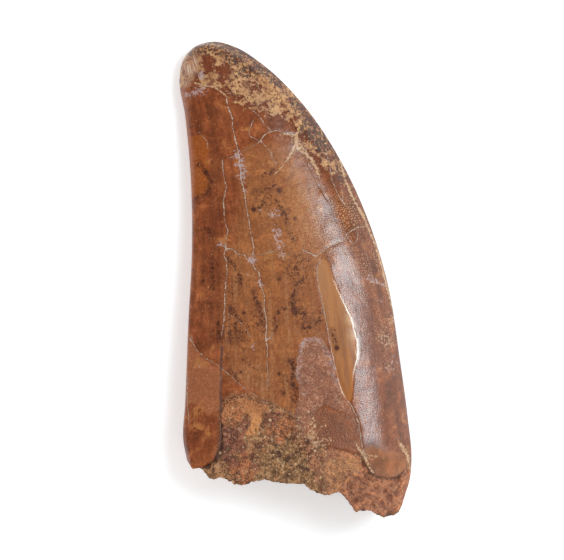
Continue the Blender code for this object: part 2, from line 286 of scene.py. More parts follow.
# Fine cracks down the upper face, each as its half-width and its line. White mineral fills most.
CRACKS = [
    (0.15, [(-13.7, 35.5), (-13.5, 34.1), (-12.9, 32.6), (-12.5, 31.2), (-12.6, 30.1),
            (-12.2, 28.7), (-12.0, 27.7), (-11.6, 25.7), (-11.2, 24.1), (-10.9, 21.2),
            (-10.7, 19.1), (-10.1, 16.9), (-9.8, 14.2), (-9.5, 12.5), (-9.1, 10.5),
            (-8.9, 8.8), (-8.5, 7.2), (-8.2, 5.9), (-8.4, 4.5)]),
    (0.12, [(-14.6, 23.2), (-14.4, 20.7), (-13.7, 17.9), (-14.4, 15.1), (-14.2, 13.7),
            (-14.1, 11.2), (-13.4, 9.2), (-13.8, 7.7), (-13.8, 5.7), (-14.3, 4.1),
            (-13.7, 3.1), (-13.6, 1.1), (-13.9, -1.0), (-14.1, -4.5), (-14.1, -6.2),
            (-14.3, -9.2), (-14.7, -11.6)]),
    (0.14, [(-15.2, 6.5), (-13.7, 5.7), (-12.4, 5.5), (-11.6, 4.6), (-10.1, 4.3), (-9.6, 3.5),
            (-8.7, 3.4), (-8.2, 2.0), (-7.3, 0.9), (-7.0, -0.3), (-6.9, -1.8), (-6.4, -2.8),
            (-6.1, -4.5), (-6.2, -6.6), (-5.8, -7.8), (-5.7, -10.2), (-5.8, -12.6),
            (-5.5, -14.4)]),
    (0.08, [(-5.8, -12.6), (-4.4, -11.4)]),
    (0.08, [(-8.1, 4.0), (-5.5, 4.8), (-3.9, 5.1), (-0.9, 4.2)]),
    (0.13, [(1.7, 5.2), (4.2, 4.1), (5.6, 5.1), (6.7, 5.9), (8.2, 6.7), (9.7, 7.2),
            (10.0, 8.3), (11.2, 9.2), (12.6, 9.9), (14.2, 10.1)]),
    (0.08, [(10.0, 8.3), (10.8, 7.1), (11.7, 6.4), (12.4, 7.5), (12.6, 9.0)]),
    (0.10, [(-6.9, 27.2), (-6.3, 28.1), (-5.4, 28.7), (-4.3, 29.1), (-3.2, 29.1),
            (-2.3, 28.5), (-0.4, 28.4)]),
    (0.08, [(-6.9, 27.2), (-6.0, 26.1), (-4.8, 25.0), (-4.5, 23.8), (-3.6, 22.5)]),
    (0.09, [(-8.2, 31.4), (-8.8, 30.3), (-9.2, 29.2), (-9.1, 28.1), (-8.0, 27.6),
            (-7.1, 27.0)]),
    (0.07, [(-8.3, 33.1), (-7.2, 32.2), (-6.3, 30.7), (-4.9, 29.2)]),
    (0.10, [(-11.1, 24.1), (-12.1, 24.1), (-13.1, 23.7)]),
    (0.10, [(-21.1, -12.4), (-20.7, -13.0), (-19.7, -14.6), (-17.7, -16.4)]),
    (0.06, [(-17.7, -16.4), (-16.1, -17.2), (-14.3, -18.6), (-12.2, -20.3), (-10.0, -22.2),
            (-8.3, -23.3), (-6.6, -24.5), (-5.0, -25.6)]),
    (0.07, [(-13.3, -7.4), (-11.7, -8.4), (-10.4, -9.8), (-9.3, -11.3), (-8.8, -12.1)]),
    (0.05, [(5.4, 3.7), (4.4, 2.5), (4.3, 0.9), (4.5, -1.6), (5.0, -4.4), (5.6, -7.0),
            (6.1, -8.8), (6.4, -11.0), (6.9, -13.0)]),
    (0.14, [(10.8, -25.0), (11.4, -26.2), (12.0, -27.4), (12.4, -28.8), (12.8, -30.4),
            (13.0, -32.4), (13.4, -34.4), (14.2, -35.6)]),
    (0.07, [(-5.5, -14.4), (-5.6, -17.0), (-5.4, -19.6), (-5.5, -22.4)]),
    (0.06, [(-21.5, -20.3), (-21.6, -25.0), (-21.3, -30.1)]),
    (0.06, [(-19.3, 29.1), (-17.6, 27.0), (-17.5, 25.7)]),
    (0.06, [(-6.8, 27.0), (-8.6, 26.0), (-10.4, 25.2)]),
    (0.07, [(6.2, 25.6), (6.8, 22.2), (7.4, 19.2), (8.5, 16.4), (10.0, 14.2)]),
    (0.06, [(9.0, 18.2), (9.6, 16.4), (9.4, 14.4)]),
    (0.06, [(1.0, 27.2), (3.0, 21.6), (4.6, 18.4), (6.4, 15.4)]),
]
# The same, on the under face.
UNDER_CRACKS = [
    (0.13, [(-15.5, 36.0), (-14.6, 30.5), (-15.2, 25.0), (-13.8, 19.4), (-12.6, 13.0),
            (-13.1, 6.2), (-11.4, 0.5), (-10.9, -7.4), (-9.2, -13.8), (-9.6, -21.5),
            (-8.1, -29.0)]),
    (0.11, [(-9.5, 31.8), (-6.4, 26.1), (-5.8, 20.3), (-2.9, 14.8), (-1.8, 8.2), (0.9, 2.0),
            (1.2, -5.1), (3.4, -12.6), (3.1, -19.9)]),
    (0.10, [(-13.1, 6.2), (-8.6, 5.0), (-3.9, 6.9), (-1.8, 8.2), (4.6, 7.1), (9.8, 9.6),
            (15.0, 8.8)]),
    (0.12, [(3.4, -12.6), (8.5, -15.9), (12.2, -21.8), (12.9, -29.5), (16.0, -36.2)]),
]
# Ochre veins: down beside the bowed edge, forked below the tip, and round the root's border.
VEINS = [
    (0.22, [(-20.1, 38.9), (-18.1, 38.4), (-16.2, 38.0), (-13.7, 36.1)]),
    (0.34, [(9.1, 23.2), (9.7, 20.1), (10.8, 17.4), (12.4, 14.2), (13.7, 12.1), (14.4, 10.2),
            (15.2, 8.2), (16.2, 6.1), (16.9, 3.9), (17.8, 0.2), (18.7, -3.2), (19.5, -5.8),
            (20.0, -8.0), (20.4, -10.4), (20.7, -12.2)]),
    (0.90, [(0.2, 27.2), (0.8, 25.8)]),
    (0.34, [(0.4, 28.2), (0.1, 26.3), (-0.7, 24.8), (-1.6, 23.4)]),
    (0.14, [(-1.6, 23.4), (-2.4, 22.3), (-3.9, 20.6)]),
    (0.42, [(0.1, 25.8), (2.2, 24.5), (3.5, 23.0), (4.3, 21.7), (4.7, 20.4)]),
    (0.26, [(-2.2, 28.5), (-0.6, 28.1), (0.6, 28.9)]),
    (0.32, [(12.2, -33.4), (13.2, -35.0), (13.9, -36.0), (14.4, -37.4), (15.2, -38.6)]),
    (0.24, [(12.6, -34.4), (14.6, -35.3), (15.9, -35.4)]),
    (0.45, [(21.0, -33.4), (22.3, -35.4), (22.9, -38.2)]),
]
# Dark mineral that grew in chains of dots.
CHAINS = [
    (0.34, [(1.3, -0.7), (0.2, -1.8), (-0.5, -3.6), (-0.7, -5.1), (-0.4, -6.7), (0.2, -7.4)]),
    (0.30, [(-0.4, -6.7), (1.1, -6.5), (2.0, -7.8), (2.0, -8.9), (1.6, -10.1), (2.9, -9.8),
            (4.0, -9.2), (5.1, -8.5), (4.9, -6.9)]),
    (0.28, [(-13.6, 3.8), (-12.5, 2.4), (-11.2, 0.9), (-10.9, -1.1)]),
    (0.26, [(-8.3, -2.5), (-8.0, -4.3), (-7.4, -5.1), (-6.7, -7.8), (-6.3, -9.4)]),
    (0.24, [(-4.0, -10.7), (-4.0, -8.2), (-3.4, -7.1), (-2.0, -6.2)]),
    (0.40, [(-0.7, -16.9), (-0.2, -18.0), (-0.7, -20.5), (-0.2, -21.4), (0.2, -22.9),
            (-0.4, -24.7)]),
    (0.26, [(7.3, -10.5), (7.4, -11.6), (7.8, -12.7), (8.2, -14.2)]),
    (0.42, [(-19.3, 22.7), (-18.5, 22.1), (-17.9, 21.0), (-17.1, 20.1), (-16.9, 18.5),
            (-17.6, 16.7), (-18.5, 16.1), (-19.5, 15.9)]),
    (0.32, [(-8.3, 16.9), (-7.4, 17.2), (-6.6, 16.8), (-5.8, 17.3), (-5.0, 17.6),
            (-4.4, 18.1)]),
    (0.24, [(-3.9, 21.6), (-5.0, 20.8), (-6.8, 20.2)]),
    (0.26, [(-8.2, 13.3), (-6.6, 14.0), (-6.0, 14.9)]),
    (0.26, [(-2.9, 13.8), (-1.9, 12.4), (-1.6, 10.6)]),
    (0.26, [(-0.9, 8.4), (-0.6, 7.2)]),
    (0.30, [(-16.6, 4.2), (-16.5, 1.0), (-16.6, -2.3)]),
    (0.30, [(-18.6, 9.6), (-17.4, 9.6), (-16.8, 8.2)]),
    (0.30, [(-15.3, -9.0), (-15.1, -12.2)]),
    (0.26, [(-13.4, -18.4), (-12.0, -19.8), (-11.4, -20.9)]),
    (0.24, [(-13.2, -5.2), (-12.0, -7.3), (-10.8, -9.0)]),
]

# Painted shadow lines: dark lines under the enamel's rounded end and down beside the left lobe, where
# the steps cast shade.
PAINTED_SHADOW_LINES = [
    (0.17, [(13.9, -37.2), (14.5, -38.2), (15.7, -39.3), (17.0, -39.9), (18.8, -40.0), (20.5, -39.7),
            (21.6, -38.6)]),
    (0.20, [(-14.6, -14.0), (-14.8, -18.6), (-14.9, -22.0), (-14.8, -26.4)]),
    (0.30, [(-14.8, -26.4), (-14.6, -28.5), (-14.5, -31.0), (-14.9, -34.0), (-15.8, -35.9)]),
]

# Stained and worn areas, as outlines on the face.
MOTTLED = [
    (-25.1, 38.9), (-19.9, 38.9), (-18.1, 38.2), (-16.2, 38.0), (-13.7, 36.1), (-10.1, 34.1),
    (-7.1, 33.2), (-3.1, 31.7), (-1.1, 31.2), (1.0, 28.7), (2.6, 25.7), (4.2, 22.7), (7.0, 20.3),
    (10.0, 18.3), (14.0, 15.7), (25.0, 13.7), (25.0, 51.7), (-25.1, 51.7),
]
HONEY = [
    (-9.1, 25.7), (-4.0, 27.2), (-0.1, 25.7), (2.0, 21.7), (4.0, 15.7), (5.4, 8.7), (6.6, 3.2),
    (5.0, -4.4), (7.0, -13.4), (1.0, -12.4), (0.2, -17.4), (0.2, -27.8), (-2.9, -26.8),
    (-7.5, -23.8), (-11.1, -20.6), (-14.2, -18.8), (-14.7, -10.4), (-13.9, -2.4), (-13.9, 4.7),
    (-12.7, 7.7), (-11.1, 15.7), (-11.1, 22.7),
]
LOBE = [
    (13.0, -34.0), (15.4, -33.4), (17.9, -34.4), (20.6, -34.8), (21.0, -33.8), (22.4, -33.6),
    (23.8, -36.4), (21.9, -38.3), (20.7, -39.5), (18.6, -39.8), (16.9, -39.8), (15.7, -39.2),
    (14.4, -38.3), (13.7, -37.1),
]
ORANGE = [
    (-23.1, 28.1), (-17.9, 28.5), (-17.2, 25.7), (-17.7, 23.7), (-17.2, 22.1), (-17.7, 20.1),
    (-17.4, 18.1), (-18.4, 16.1), (-23.1, 15.7),
]
LOBE_TOP = [
    (-23.5, -11.6), (-20.9, -13.4), (-17.7, -16.8), (-14.8, -18.8), (-15.0, -26.5), (-17.5, -27.5),
    (-19.5, -25.5), (-23.5, -25.0),
]
DARK_BAND = [
    (-16.7, 35.6), (-14.7, 33.2), (-14.2, 19.7), (-14.2, 5.7), (-14.7, -14.4), (-17.4, -14.8),
    (-17.9, 5.7), (-17.4, 15.7), (-17.1, 27.7),
]
# Round patches, each as its place, radius and strength.
PATCHES = {
    "stains": [
        (-0.3, -5.8, 2.4, 0.5), (2.6, -9.4, 2.6, 0.5), (-6.5, 15.5, 3.0, 0.4), (-1.0, 2.6, 2.8, 0.4),
        (1.0, 1.6, 2.4, 0.5), (-11.0, -12.0, 2.6, 0.5), (-17.0, 20.4, 2.0, 0.3),
        (-2.0, -22.0, 2.2, 0.5), (-7.0, -9.0, 2.5, 0.4), (-16.2, 33.5, 2.0, 0.5),
        (-13.0, -9.0, 2.0, 0.5), (-3.0, 13.0, 3.0, 0.4), (-12.0, -2.0, 3.0, 0.4),
        (-18.0, -5.0, 3.5, 0.5), (-20.6, 31.0, 1.2, 0.8), (-8.5, -19.0, 3.0, 0.4),
        (-14.2, -27.0, 1.2, 0.9), (-14.6, -30.5, 1.0, 0.9),
    ],
    "knots": [
        (-8.3, 13.4, 0.45, 1.6), (-17.9, 20.9, 0.50, 1.6), (-3.2, 17.2, 0.70, 1.0),
        (8.2, -14.1, 0.50, 1.4), (7.4, -11.5, 0.35, 1.0), (-0.5, -3.7, 0.50, 1.0),
        (-0.3, -6.5, 0.80, 0.9), (-10.3, -7.2, 0.50, 1.0), (-10.9, -19.0, 0.50, 0.9),
        (-1.1, -16.6, 0.60, 0.8), (-3.2, -19.2, 0.50, 1.0), (-2.3, -23.0, 0.50, 1.0),
        (-10.4, -16.5, 0.35, 1.0), (-18.5, -0.9, 0.50, 1.0), (-3.2, -0.4, 0.70, 0.8),
        (-0.1, 11.6, 0.50, 0.9), (-8.1, -4.2, 0.40, 1.0), (-0.5, -21.4, 0.45, 1.5),
        (-0.4, -18.1, 0.50, 1.1), (-12.8, -6.5, 0.60, 0.8), (-5.0, 20.4, 0.35, 0.9),
        (-9.7, 17.9, 0.35, 0.8), (-1.9, 12.4, 0.40, 0.9), (-16.6, 23.0, 0.40, 0.8),
        (-20.8, 38.0, 0.35, 0.7), (15.4, -45.6, 0.80, 0.9), (18.0, -45.2, 0.70, 0.9),
        (12.9, -42.6, 0.60, 0.7), (17.2, -41.4, 0.50, 0.6), (-14.4, -24.6, 0.45, 1.0),
        (-14.4, -20.8, 0.40, 0.8), (-1.2, -27.0, 0.70, 0.8),
    ],
    "clouds": [
        (-11.0, 13.0, 2.6, 0.6), (-13.2, 9.0, 2.0, 0.4), (-17.8, 7.6, 1.8, 0.9),
        (-18.4, -0.8, 1.4, 0.7), (-17.3, -6.1, 2.6, 0.8), (-15.8, -11.8, 1.8, 1.0),
        (-12.4, -11.9, 2.2, 0.9), (-12.9, -6.6, 1.2, 0.9), (-16.5, 2.8, 1.0, 0.8),
        (-8.0, -6.0, 1.6, 0.5), (-18.5, -14.5, 1.6, 0.5), (-21.0, -29.0, 1.2, 0.9),
        (-15.2, 20.0, 1.8, 0.5), (-15.0, 13.0, 1.6, 0.5), (-6.4, -5.4, 1.4, 0.5),
        (-9.6, 11.0, 1.2, 0.5), (-14.0, -16.5, 1.4, 0.7), (-20.8, -34.0, 1.2, 0.6),
        (-11.6, -2.4, 1.4, 0.5), (8.6, 26.0, 2.0, 0.4), (-1.6, 1.4, 2.0, 0.4),
        (-20.2, 32.8, 0.9, 1.6), (-19.4, 30.0, 0.9, 1.5), (3.4, 22.4, 1.3, 0.8),
    ],
    "amber": [
        (-20.0, -27.3, 1.6, 0.6), (-19.5, -30.6, 1.3, 0.6), (-17.2, -31.8, 1.2, 0.4),
        (-18.7, -26.2, 1.2, 0.5), (0.5, 14.5, 3.0, 0.6), (-5.5, 13.6, 2.0, 0.5),
        (2.6, 9.5, 2.5, 0.5), (-2.4, 22.0, 2.4, 0.4), (-9.6, 30.0, 1.2, 0.5), (-5.0, 4.0, 3.0, 0.3),
        (-1.0, -12.0, 2.0, 0.4), (-19.0, -17.5, 2.0, 0.4),
    ],
    # Pale patches near the facet's right edge, painted as its soft highlight.
    "facet_highlight": [
        (10.8, -4.4, 1.5, 0.8), (11.3, -8.4, 1.5, 0.9), (9.8, -1.0, 1.4, 0.6), (8.6, 1.0, 1.2, 0.5),
        (11.3, -12.0, 1.2, 0.6),
    ],
    "dusty": [
        (18.6, -13.0, 2.2, 1.0), (19.4, -8.6, 1.7, 0.9), (17.4, -17.4, 2.0, 0.6),
        (16.6, -11.6, 1.4, 0.5), (19.6, -18.4, 1.6, 0.6), (18.2, -3.0, 1.6, 0.5),
        (20.4, -24.0, 2.0, 0.4), (20.6, -32.0, 1.6, 0.5),
    ],
    # Lilac scuff patches; near the tip's left edge they are a painted highlight.
    "scuffs_and_tip_highlight": [
        (-11.0, 22.6, 1.5, 1.1), (-10.6, 20.0, 1.4, 1.0), (-11.6, 24.6, 1.1, 0.9),
        (-10.0, 17.2, 1.0, 0.8), (-15.1, 6.6, 0.8, 1.0), (-13.6, 5.7, 0.9, 0.6),
        (-3.8, 8.8, 1.5, 1.0), (-8.4, -13.8, 0.7, 1.0), (-21.6, 36.6, 1.0, 1.2),
        (-19.8, 37.0, 1.0, 0.8), (-3.6, 27.8, 0.9, 0.8), (-21.0, -12.4, 0.8, 0.9),
        (-4.3, 12.6, 1.3, 1.0), (-18.9, 40.5, 1.0, 1.3), (-7.2, 13.2, 0.6, 0.8),
        (14.6, -0.4, 1.0, 1.0), (16.0, -1.0, 0.8, 1.0), (17.6, -1.6, 0.8, 0.9),
        (-9.0, 4.0, 1.2, 0.9), (-3.4, 6.2, 1.5, 1.0), (-18.2, 37.6, 1.6, 0.9),
        (-13.0, 36.8, 0.8, 0.6), (-8.5, 3.0, 0.9, 0.9), (17.0, -5.0, 1.4, 0.6),
        (18.6, -18.0, 1.8, 0.5), (19.8, -16.0, 2.0, 0.5), (-5.0, -12.0, 0.6, 0.8),
        (-6.6, -1.6, 0.7, 0.8), (-7.2, -17.4, 0.6, 0.7), (-5.2, -17.8, 0.6, 0.7),
        (-2.4, 4.0, 1.0, 0.8), (-9.4, 0.6, 0.6, 0.9), (-7.4, -0.8, 0.7, 0.7), (1.2, -13.4, 0.9, 1.0),
        (0.6, -16.2, 0.8, 0.8), (1.6, -23.2, 0.8, 0.7), (-19.0, -18.0, 0.8, 0.6),
        (-17.4, -20.2, 0.7, 0.5), (3.2, 24.0, 1.0, 0.5),
    ],
    "smoky": [
        (-19.0, 46.2, 1.8, 0.9), (-15.8, 46.4, 2.4, 0.7), (-10.0, 41.1, 1.5, 1.2),
        (-7.4, 41.4, 1.2, 0.9), (-11.0, 45.0, 2.2, 0.8), (2.2, 29.8, 1.8, 1.2),
        (-4.0, 40.0, 1.8, 0.8), (4.6, 26.4, 1.6, 0.7), (-14.0, 46.2, 2.0, 0.6),
        (6.0, 26.8, 1.6, 0.6), (0.6, 34.4, 1.4, 0.7), (7.6, 19.6, 2.0, 0.4), (-22.6, 42.0, 1.2, 0.4),
        (-21.0, 44.8, 1.2, 0.8), (-12.4, 43.4, 1.4, 0.6), (3.4, 28.2, 1.2, 0.9),
    ],
    "rubbed": [
        (-17.2, 42.5, 1.7, 1.0), (-14.0, 41.8, 1.4, 0.8), (3.0, 22.0, 2.2, 0.7),
        (-3.6, 30.2, 1.6, 0.6), (-13.6, 40.6, 1.3, 0.5),
    ],
    "brushed": [(-21.2, 41.8, 1.6, 1.0), (-21.8, 38.8, 1.3, 0.7), (-20.0, 44.0, 1.6, 0.6)],
    "beaded": [
        (2.0, 16.4, 3.6, 0.8), (4.6, 11.0, 4.2, 1.0), (7.4, 5.6, 3.0, 0.8), (9.0, 13.0, 4.0, 0.6),
        (14.6, 3.0, 4.6, 1.0), (12.0, 12.6, 3.4, 0.9), (17.2, -9.0, 5.0, 0.7), (0.6, 7.0, 3.0, 0.5),
        (1.0, 22.0, 3.0, 0.5),
    ],
    "tan": [
        (7.6, -38.6, 3.0, 1.0), (5.6, -40.8, 2.0, 0.9), (10.6, -37.4, 2.0, 0.6),
        (4.4, -34.4, 1.6, 0.5), (19.4, -36.8, 1.6, 0.6),
    ],
    "grainy": [
        (2.6, -31.6, 1.6, 1.0), (4.3, -33.2, 1.6, 1.1), (3.6, -29.2, 1.9, 0.9),
        (1.9, -26.6, 1.4, 0.6), (6.4, -32.0, 1.2, 0.8), (3.6, -35.4, 1.6, 1.0),
        (7.5, -35.0, 1.5, 0.6), (12.2, -36.0, 1.5, 0.7), (10.4, -44.0, 2.0, 0.5),
        (13.6, -40.2, 1.4, 0.5),
    ],
}

# Low relief that the whole upper face has, as heights and sizes, how far and in what steps its
# borders wander, and the width of worn corners.
SWELLS = ((0.10, 14.0), (0.03, 3.0))
RELIEF_WANDER = (0.15, 1.6)
COLOUR_WANDER = (0.12, 1.1)
CORNER_EDGE = 0.5
CRACK_DEPTH = 0.05
CRACK_REACH = 2.5

# The mesh: rows from the root to the tip, closer together at the root, and columns across.
ROWS = 380
ROWS_CLOSER = 1.15
COLUMNS = 192
COLUMNS_CLOSER = 0.35
UNDER_STRIDE = 4
BREAK_STEPS = 14
BREAK_GRIT = (0.25, 1.2)
UNDER_LUMPS = (0.12, 9.0)
WELDS_PER_MM = 1e4
UNROLLED_SIZE = (0.39, 0.80)
UNROLLED_UNDER = 0.44
UNROLLED_BREAK = (0.83, 0.15)
MARGIN = 0.01

# Numbers for the marks that the material reads: the value far outside an outline, the width
# given to the blade, where the under face is bare, how far its mirrored stains are moved, and the
# places and widths of the worn lip, which takes a painted highlight, and of the sheen painted
# beside the broad shine.
FAR = -9.0
MARKED_WIDTH = 40
UNDER_BARE_FROM = -33.5
UNDER_BARE_WANDER = (1.5, 6.0)
UNDER_SHIFT = (6.0, 2.0)
LIP_INSET = 0.2
LIP_BREADTH = 0.38
PAINTED_SHEEN_SHIFT = 1.2
PAINTED_SHEEN_BREADTH = 2.4


def blotches(x, y, patches):
    """The sum of soft round patches."""
    total = np.zeros(np.shape(x))
    for px, py, radius, strength in patches:
        total += strength * np.exp(-((x - px) ** 2 + (y - py) ** 2) / radius**2)
    return total


def line_marks(x, y, lines):
    """The distance to the nearest line in half-widths of that line, without and with its side."""
    signed = np.full(np.shape(x), 1e3)
    for half_width, points in lines:
        distance = line_distance(x, y, points) / half_width
        signed = np.where(np.abs(distance) < np.abs(signed), distance, signed)
    return np.abs(signed), signed


def mouth_distance(x, z):
    """How far inside the mouth of the pulp cavity a place on the break is."""
    angles = np.linspace(math.pi, 2 * math.pi, MOUTH_ARC_STEPS)
    oval = [
        (MOUTH_CENTRE[0] + MOUTH_HALF[0] * math.cos(a), MOUTH_CENTRE[1] + MOUTH_HALF[1] * math.sin(a))
        for a in angles
    ]
    left, right = MOUTH_SIDES
    above = [(right, MOUTH_SHOULDER), (right, MOUTH_TOP), (left, MOUTH_TOP), (left, MOUTH_CENTRE[1])]
    return line_distance(x, z, [*oval, *above], closed=True)


def clods(x, y):
    """Rounded lumps with creases between them."""
    return 1 - 2 * np.abs(layered(x, y, 31.0, *CLODS))


def upper_relief(x, y):
    """The worn, chipped and cracked surface of the upper face, over its smooth form."""
    wander_x, wander_y = wandering(x, y, *RELIEF_WANDER, 3.0)
    relief = layered(x, y, 1.0, *SWELLS)
    facet = line_distance(wander_x, wander_y, FACET, closed=True)
    from_left = -line_distance(wander_x, wander_y, FACET_LEFT)
    past_right = line_distance(wander_x, wander_y, FACET_RIGHT)
    breadth = from_left - past_right
    outward = np.clip(from_left / np.maximum(breadth, 0.1), 0, 1) ** 2
    relief *= 1 - FACET_WEAR * ease(facet / CORNER_EDGE)
    shoulder = np.clip(1 - past_right / FACET_SHOULDER, 0, 1)
    fall = np.where(past_right > 0, shoulder, ease(1 + facet / FACET_CORNER))
    standing = np.clip(breadth / FACET_FULL_BREADTH, 0, 1) * fall
    relief += FACET_RISE * outward * standing
    flattened = np.exp(-((line_distance(x, y, FLAT_STRIP) / FLAT_BREADTH) ** 2))
    relief -= FLAT_DEPTH * flattened * ease((FLAT_STRIP[0][1] - y) / FLAT_RUN_IN)
    crust = line_distance(wander_x, wander_y, CRUST, closed=True)
    crusted = ease(crust / CRUST_EDGE + 0.5)
    thinned = ease((y - CRUST_FOOT) / CRUST_RUN_OUT)
    relief += crusted * (CRUST_HEIGHT * thinned + layered(x, y, 4.0, CRUST_LUMPS))
    worn = line_distance(wander_x, wander_y, WORN_ROOT, closed=True)
    relief -= WORN_DEPTH * ease(worn / WORN_EDGE + 0.5) * (1 - crusted)
    bare = line_distance(wander_x, wander_y, BARE_ROOT, closed=True)
    run_in = ease((x - CLODS_FROM[0]) / CLODS_RUN_IN[0])
    gritty = layered(x, y, 6.0, *BARE_GRIT)
    gritty += CLOD_HEIGHT * clods(x, y) * run_in * ease((CLODS_FROM[1] - y) / CLODS_RUN_IN[1])
    relief += ease(bare / BARE_EDGE + 0.4) * (gritty - BARE_DEPTH)
    gap, _ = line_marks(x, y, CRACKS)
    return relief - CRACK_DEPTH * np.exp(-((gap / CRACK_REACH) ** 2))


def grid_faces(grid):
    """Four-sided faces between the neighbours in a grid of point numbers."""
    corners = [grid[:-1, :-1], grid[:-1, 1:], grid[1:, 1:], grid[1:, :-1]]
    return np.stack(corners, axis=-1).reshape(-1, 4)


def build_piece(name, sheets, stride, walls, marks):
    """One closed mesh from an upper, an under and a break sheet, with marks at its points.

    The under sheet has a column for every few of the others' columns, and where the sheets
    meet they share points. Walls close the sides of a piece whose sheets don't meet. A mark
    has three values, one for each sheet: a number for each point, or one for them all.
    """
    starts = np.cumsum([0] + [sheet[0].size for sheet in sheets])
    points = np.vstack([np.stack(sheet, axis=-1).reshape(-1, 3) for sheet in sheets])
    low, high = points.min(axis=0), points.max(axis=0)
    upper, under, broken = (
        np.arange(start, start + sheet[0].size).reshape(sheet[0].shape)
        for start, sheet in zip(starts, sheets)
    )
    faces = [*grid_faces(upper), *grid_faces(under[1:])[:, ::-1]]
    upper_count = (upper.shape[0] - 1) * (upper.shape[1] - 1)
    for column in range(under.shape[1] - 1):
        first = column * stride
        edge = broken[-1, first : first + stride + 1]
        faces.append([*edge[::-1], under[1, column], under[1, column + 1]])
    under_count = len(faces) - upper_count
    faces += [*grid_faces(broken)[:, ::-1]]
    if walls:
        faces.append([*upper[:2, 0], under[1, 0], *broken[:0:-1, 0]])
        faces += [*grid_faces(np.stack([upper[1:, 0], under[1:, 0]]))]
        faces.append([*upper[:2, -1], under[1, -1], *broken[:0:-1, -1]][::-1])
        faces += [*grid_faces(np.stack([under[1:, -1], upper[1:, -1]]))]
        faces.append([*upper[-1], *under[-1, ::-1]])
    _, first, index = np.unique(
        np.round(points * WELDS_PER_MM).astype(np.int64), axis=0, return_index=True, return_inverse=True
    )
    index = index.reshape(-1)
    points = points[first]
    merged = [list(dict.fromkeys(int(index[corner]) for corner in face)) for face in faces]
    sheet_of = [0] * upper_count + [1] * under_count + [2] * (len(faces) - upper_count - under_count)
    kept = [(face, sheet) for face, sheet in zip(merged, sheet_of) if len(face) > 2]
    mesh = bpy.data.meshes.new(name)
    mesh.from_pydata((points * MM).tolist(), [], [face for face, _ in kept])

    # The upper sheet is unrolled beside the under one, and the break and walls above them.
    corners = np.concatenate([face for face, _ in kept])
    sheet_of = np.repeat([sheet for _, sheet in kept], [len(face) for face, _ in kept])
    from_left, from_root, above = (points[corners] - low).T
    wide, long, thick = high - low
    scale = min(UNROLLED_SIZE[0] / wide, UNROLLED_SIZE[1] / long)
    strip = UNROLLED_BREAK[0] + UNROLLED_BREAK[1] * above / thick
    unrolled = np.stack([
        MARGIN + UNROLLED_UNDER * (sheet_of == 1) + from_left * scale,
        np.where(sheet_of == 2, strip, MARGIN + from_root * scale),
    ], axis=1)
    mesh.uv_layers.new(name="OFBake").data.foreach_set("uv", unrolled.ravel())
    for mark, values in marks.items():
        spread = [np.broadcast_to(value, sheet[0].shape) for value, sheet in zip(values, sheets)]
        layer = mesh.attributes.new(mark, "FLOAT", "POINT")
        layer.data.foreach_set("value", np.concatenate([value.ravel() for value in spread])[first])
    mesh.shade_smooth()
    piece = bpy.data.objects.new(name, mesh)
    bpy.context.scene.collection.objects.link(piece)
    return piece


up = 1 - (1 - np.linspace(0, 1, ROWS + 1)) ** ROWS_CLOSER
evenly = np.linspace(0, 1, COLUMNS + 1)
across = evenly - COLUMNS_CLOSER * np.sin(2 * np.pi * evenly) / (2 * np.pi)
x, y = blade_plan(up, across)
smooth_upper, under, inside = blade_heights(up, across)
window = line_distance(x, y, WINDOW, closed=True)
upper_z = smooth_upper + inside * (upper_relief(x, y) - WINDOW_DEPTH * ease(window / WINDOW_RUN))
wander = 1 + BREAK_WANDER * lumps(x, y, BREAK_LUMP_SIZE)
under_y = y + near_root(up)[:, None] * inside * BREAK_SLANT * wander
under_z = np.maximum(under + inside * layered(x, under_y, 11.0, UNDER_LUMPS), 0.0)
down = np.linspace(0, 1, BREAK_STEPS + 1)[:, None]


def break_sheet(x, y, upper_z, under_y, under_z, down, across, grit):
    """The broken root, from the upper face's first row down to the under face's."""
    z = upper_z[0] * (1 - down) + under_z[0] * down
    wide = np.broadcast_to(x[0], z.shape)
    bulge = np.sin(np.pi * down) * np.sin(np.pi * across) ** 0.5
    hollow = BREAK_HOLLOW * (1 + lumps(wide, z, BREAK_LUMP_SIZE)) / 2 + grit(wide, z)
    return wide, y[0] * (1 - down) + under_y[0] * down + bulge * hollow, z


break_x, break_y, break_z = break_sheet(
    x, y, smooth_upper, under_y, under_z, down, across,
    lambda wide, z: layered(wide, z, 8.0, BREAK_GRIT),
)
mouth = ease(mouth_distance(break_x, break_z) / WINDOW_RUN)
break_y = break_y + MOUTH_DEPTH * mouth
break_z[0] = upper_z[0]
break_y[-1] = under_y[0]
upper_y = y.copy()
upper_y[0] = break_y[0]

# Marks that the material reads: how far inside each outline a place is, how far it is from each
# kind of line, and the strength of each kind of round patch.
coarse_x, coarse_y = x[:, ::UNDER_STRIDE], under_y[:, ::UNDER_STRIDE]
wander_x, wander_y = wandering(x, y, *COLOUR_WANDER, 13.0)
blade_marks = {}
outlines = {
    "facet": FACET, "crust": CRUST, "worn": WORN_ROOT, "lobe": LOBE, "orange": ORANGE,
    "dark_band": DARK_BAND, "lobe_top": LOBE_TOP,
}
for name, outline in outlines.items():
    on_upper = line_distance(wander_x, wander_y, outline, closed=True)
    blade_marks[name] = (on_upper, FAR, FAR)
for name, outline in (("mottled", MOTTLED), ("honey", HONEY)):
    on_upper = line_distance(wander_x, wander_y, outline, closed=True)
    on_under = line_distance(coarse_x, coarse_y, outline, closed=True)
    blade_marks[name] = (on_upper, on_under, FAR)
on_upper = line_distance(wander_x, wander_y, BARE_ROOT, closed=True)
on_under = UNDER_BARE_FROM - coarse_y + layered(coarse_x, coarse_y, 17.0, UNDER_BARE_WANDER)
blade_marks["bare"] = (on_upper, on_under, 3.0)
gap, side = line_marks(wander_x, wander_y, CRACKS)
under_gap, under_side = line_marks(coarse_x, coarse_y, UNDER_CRACKS)
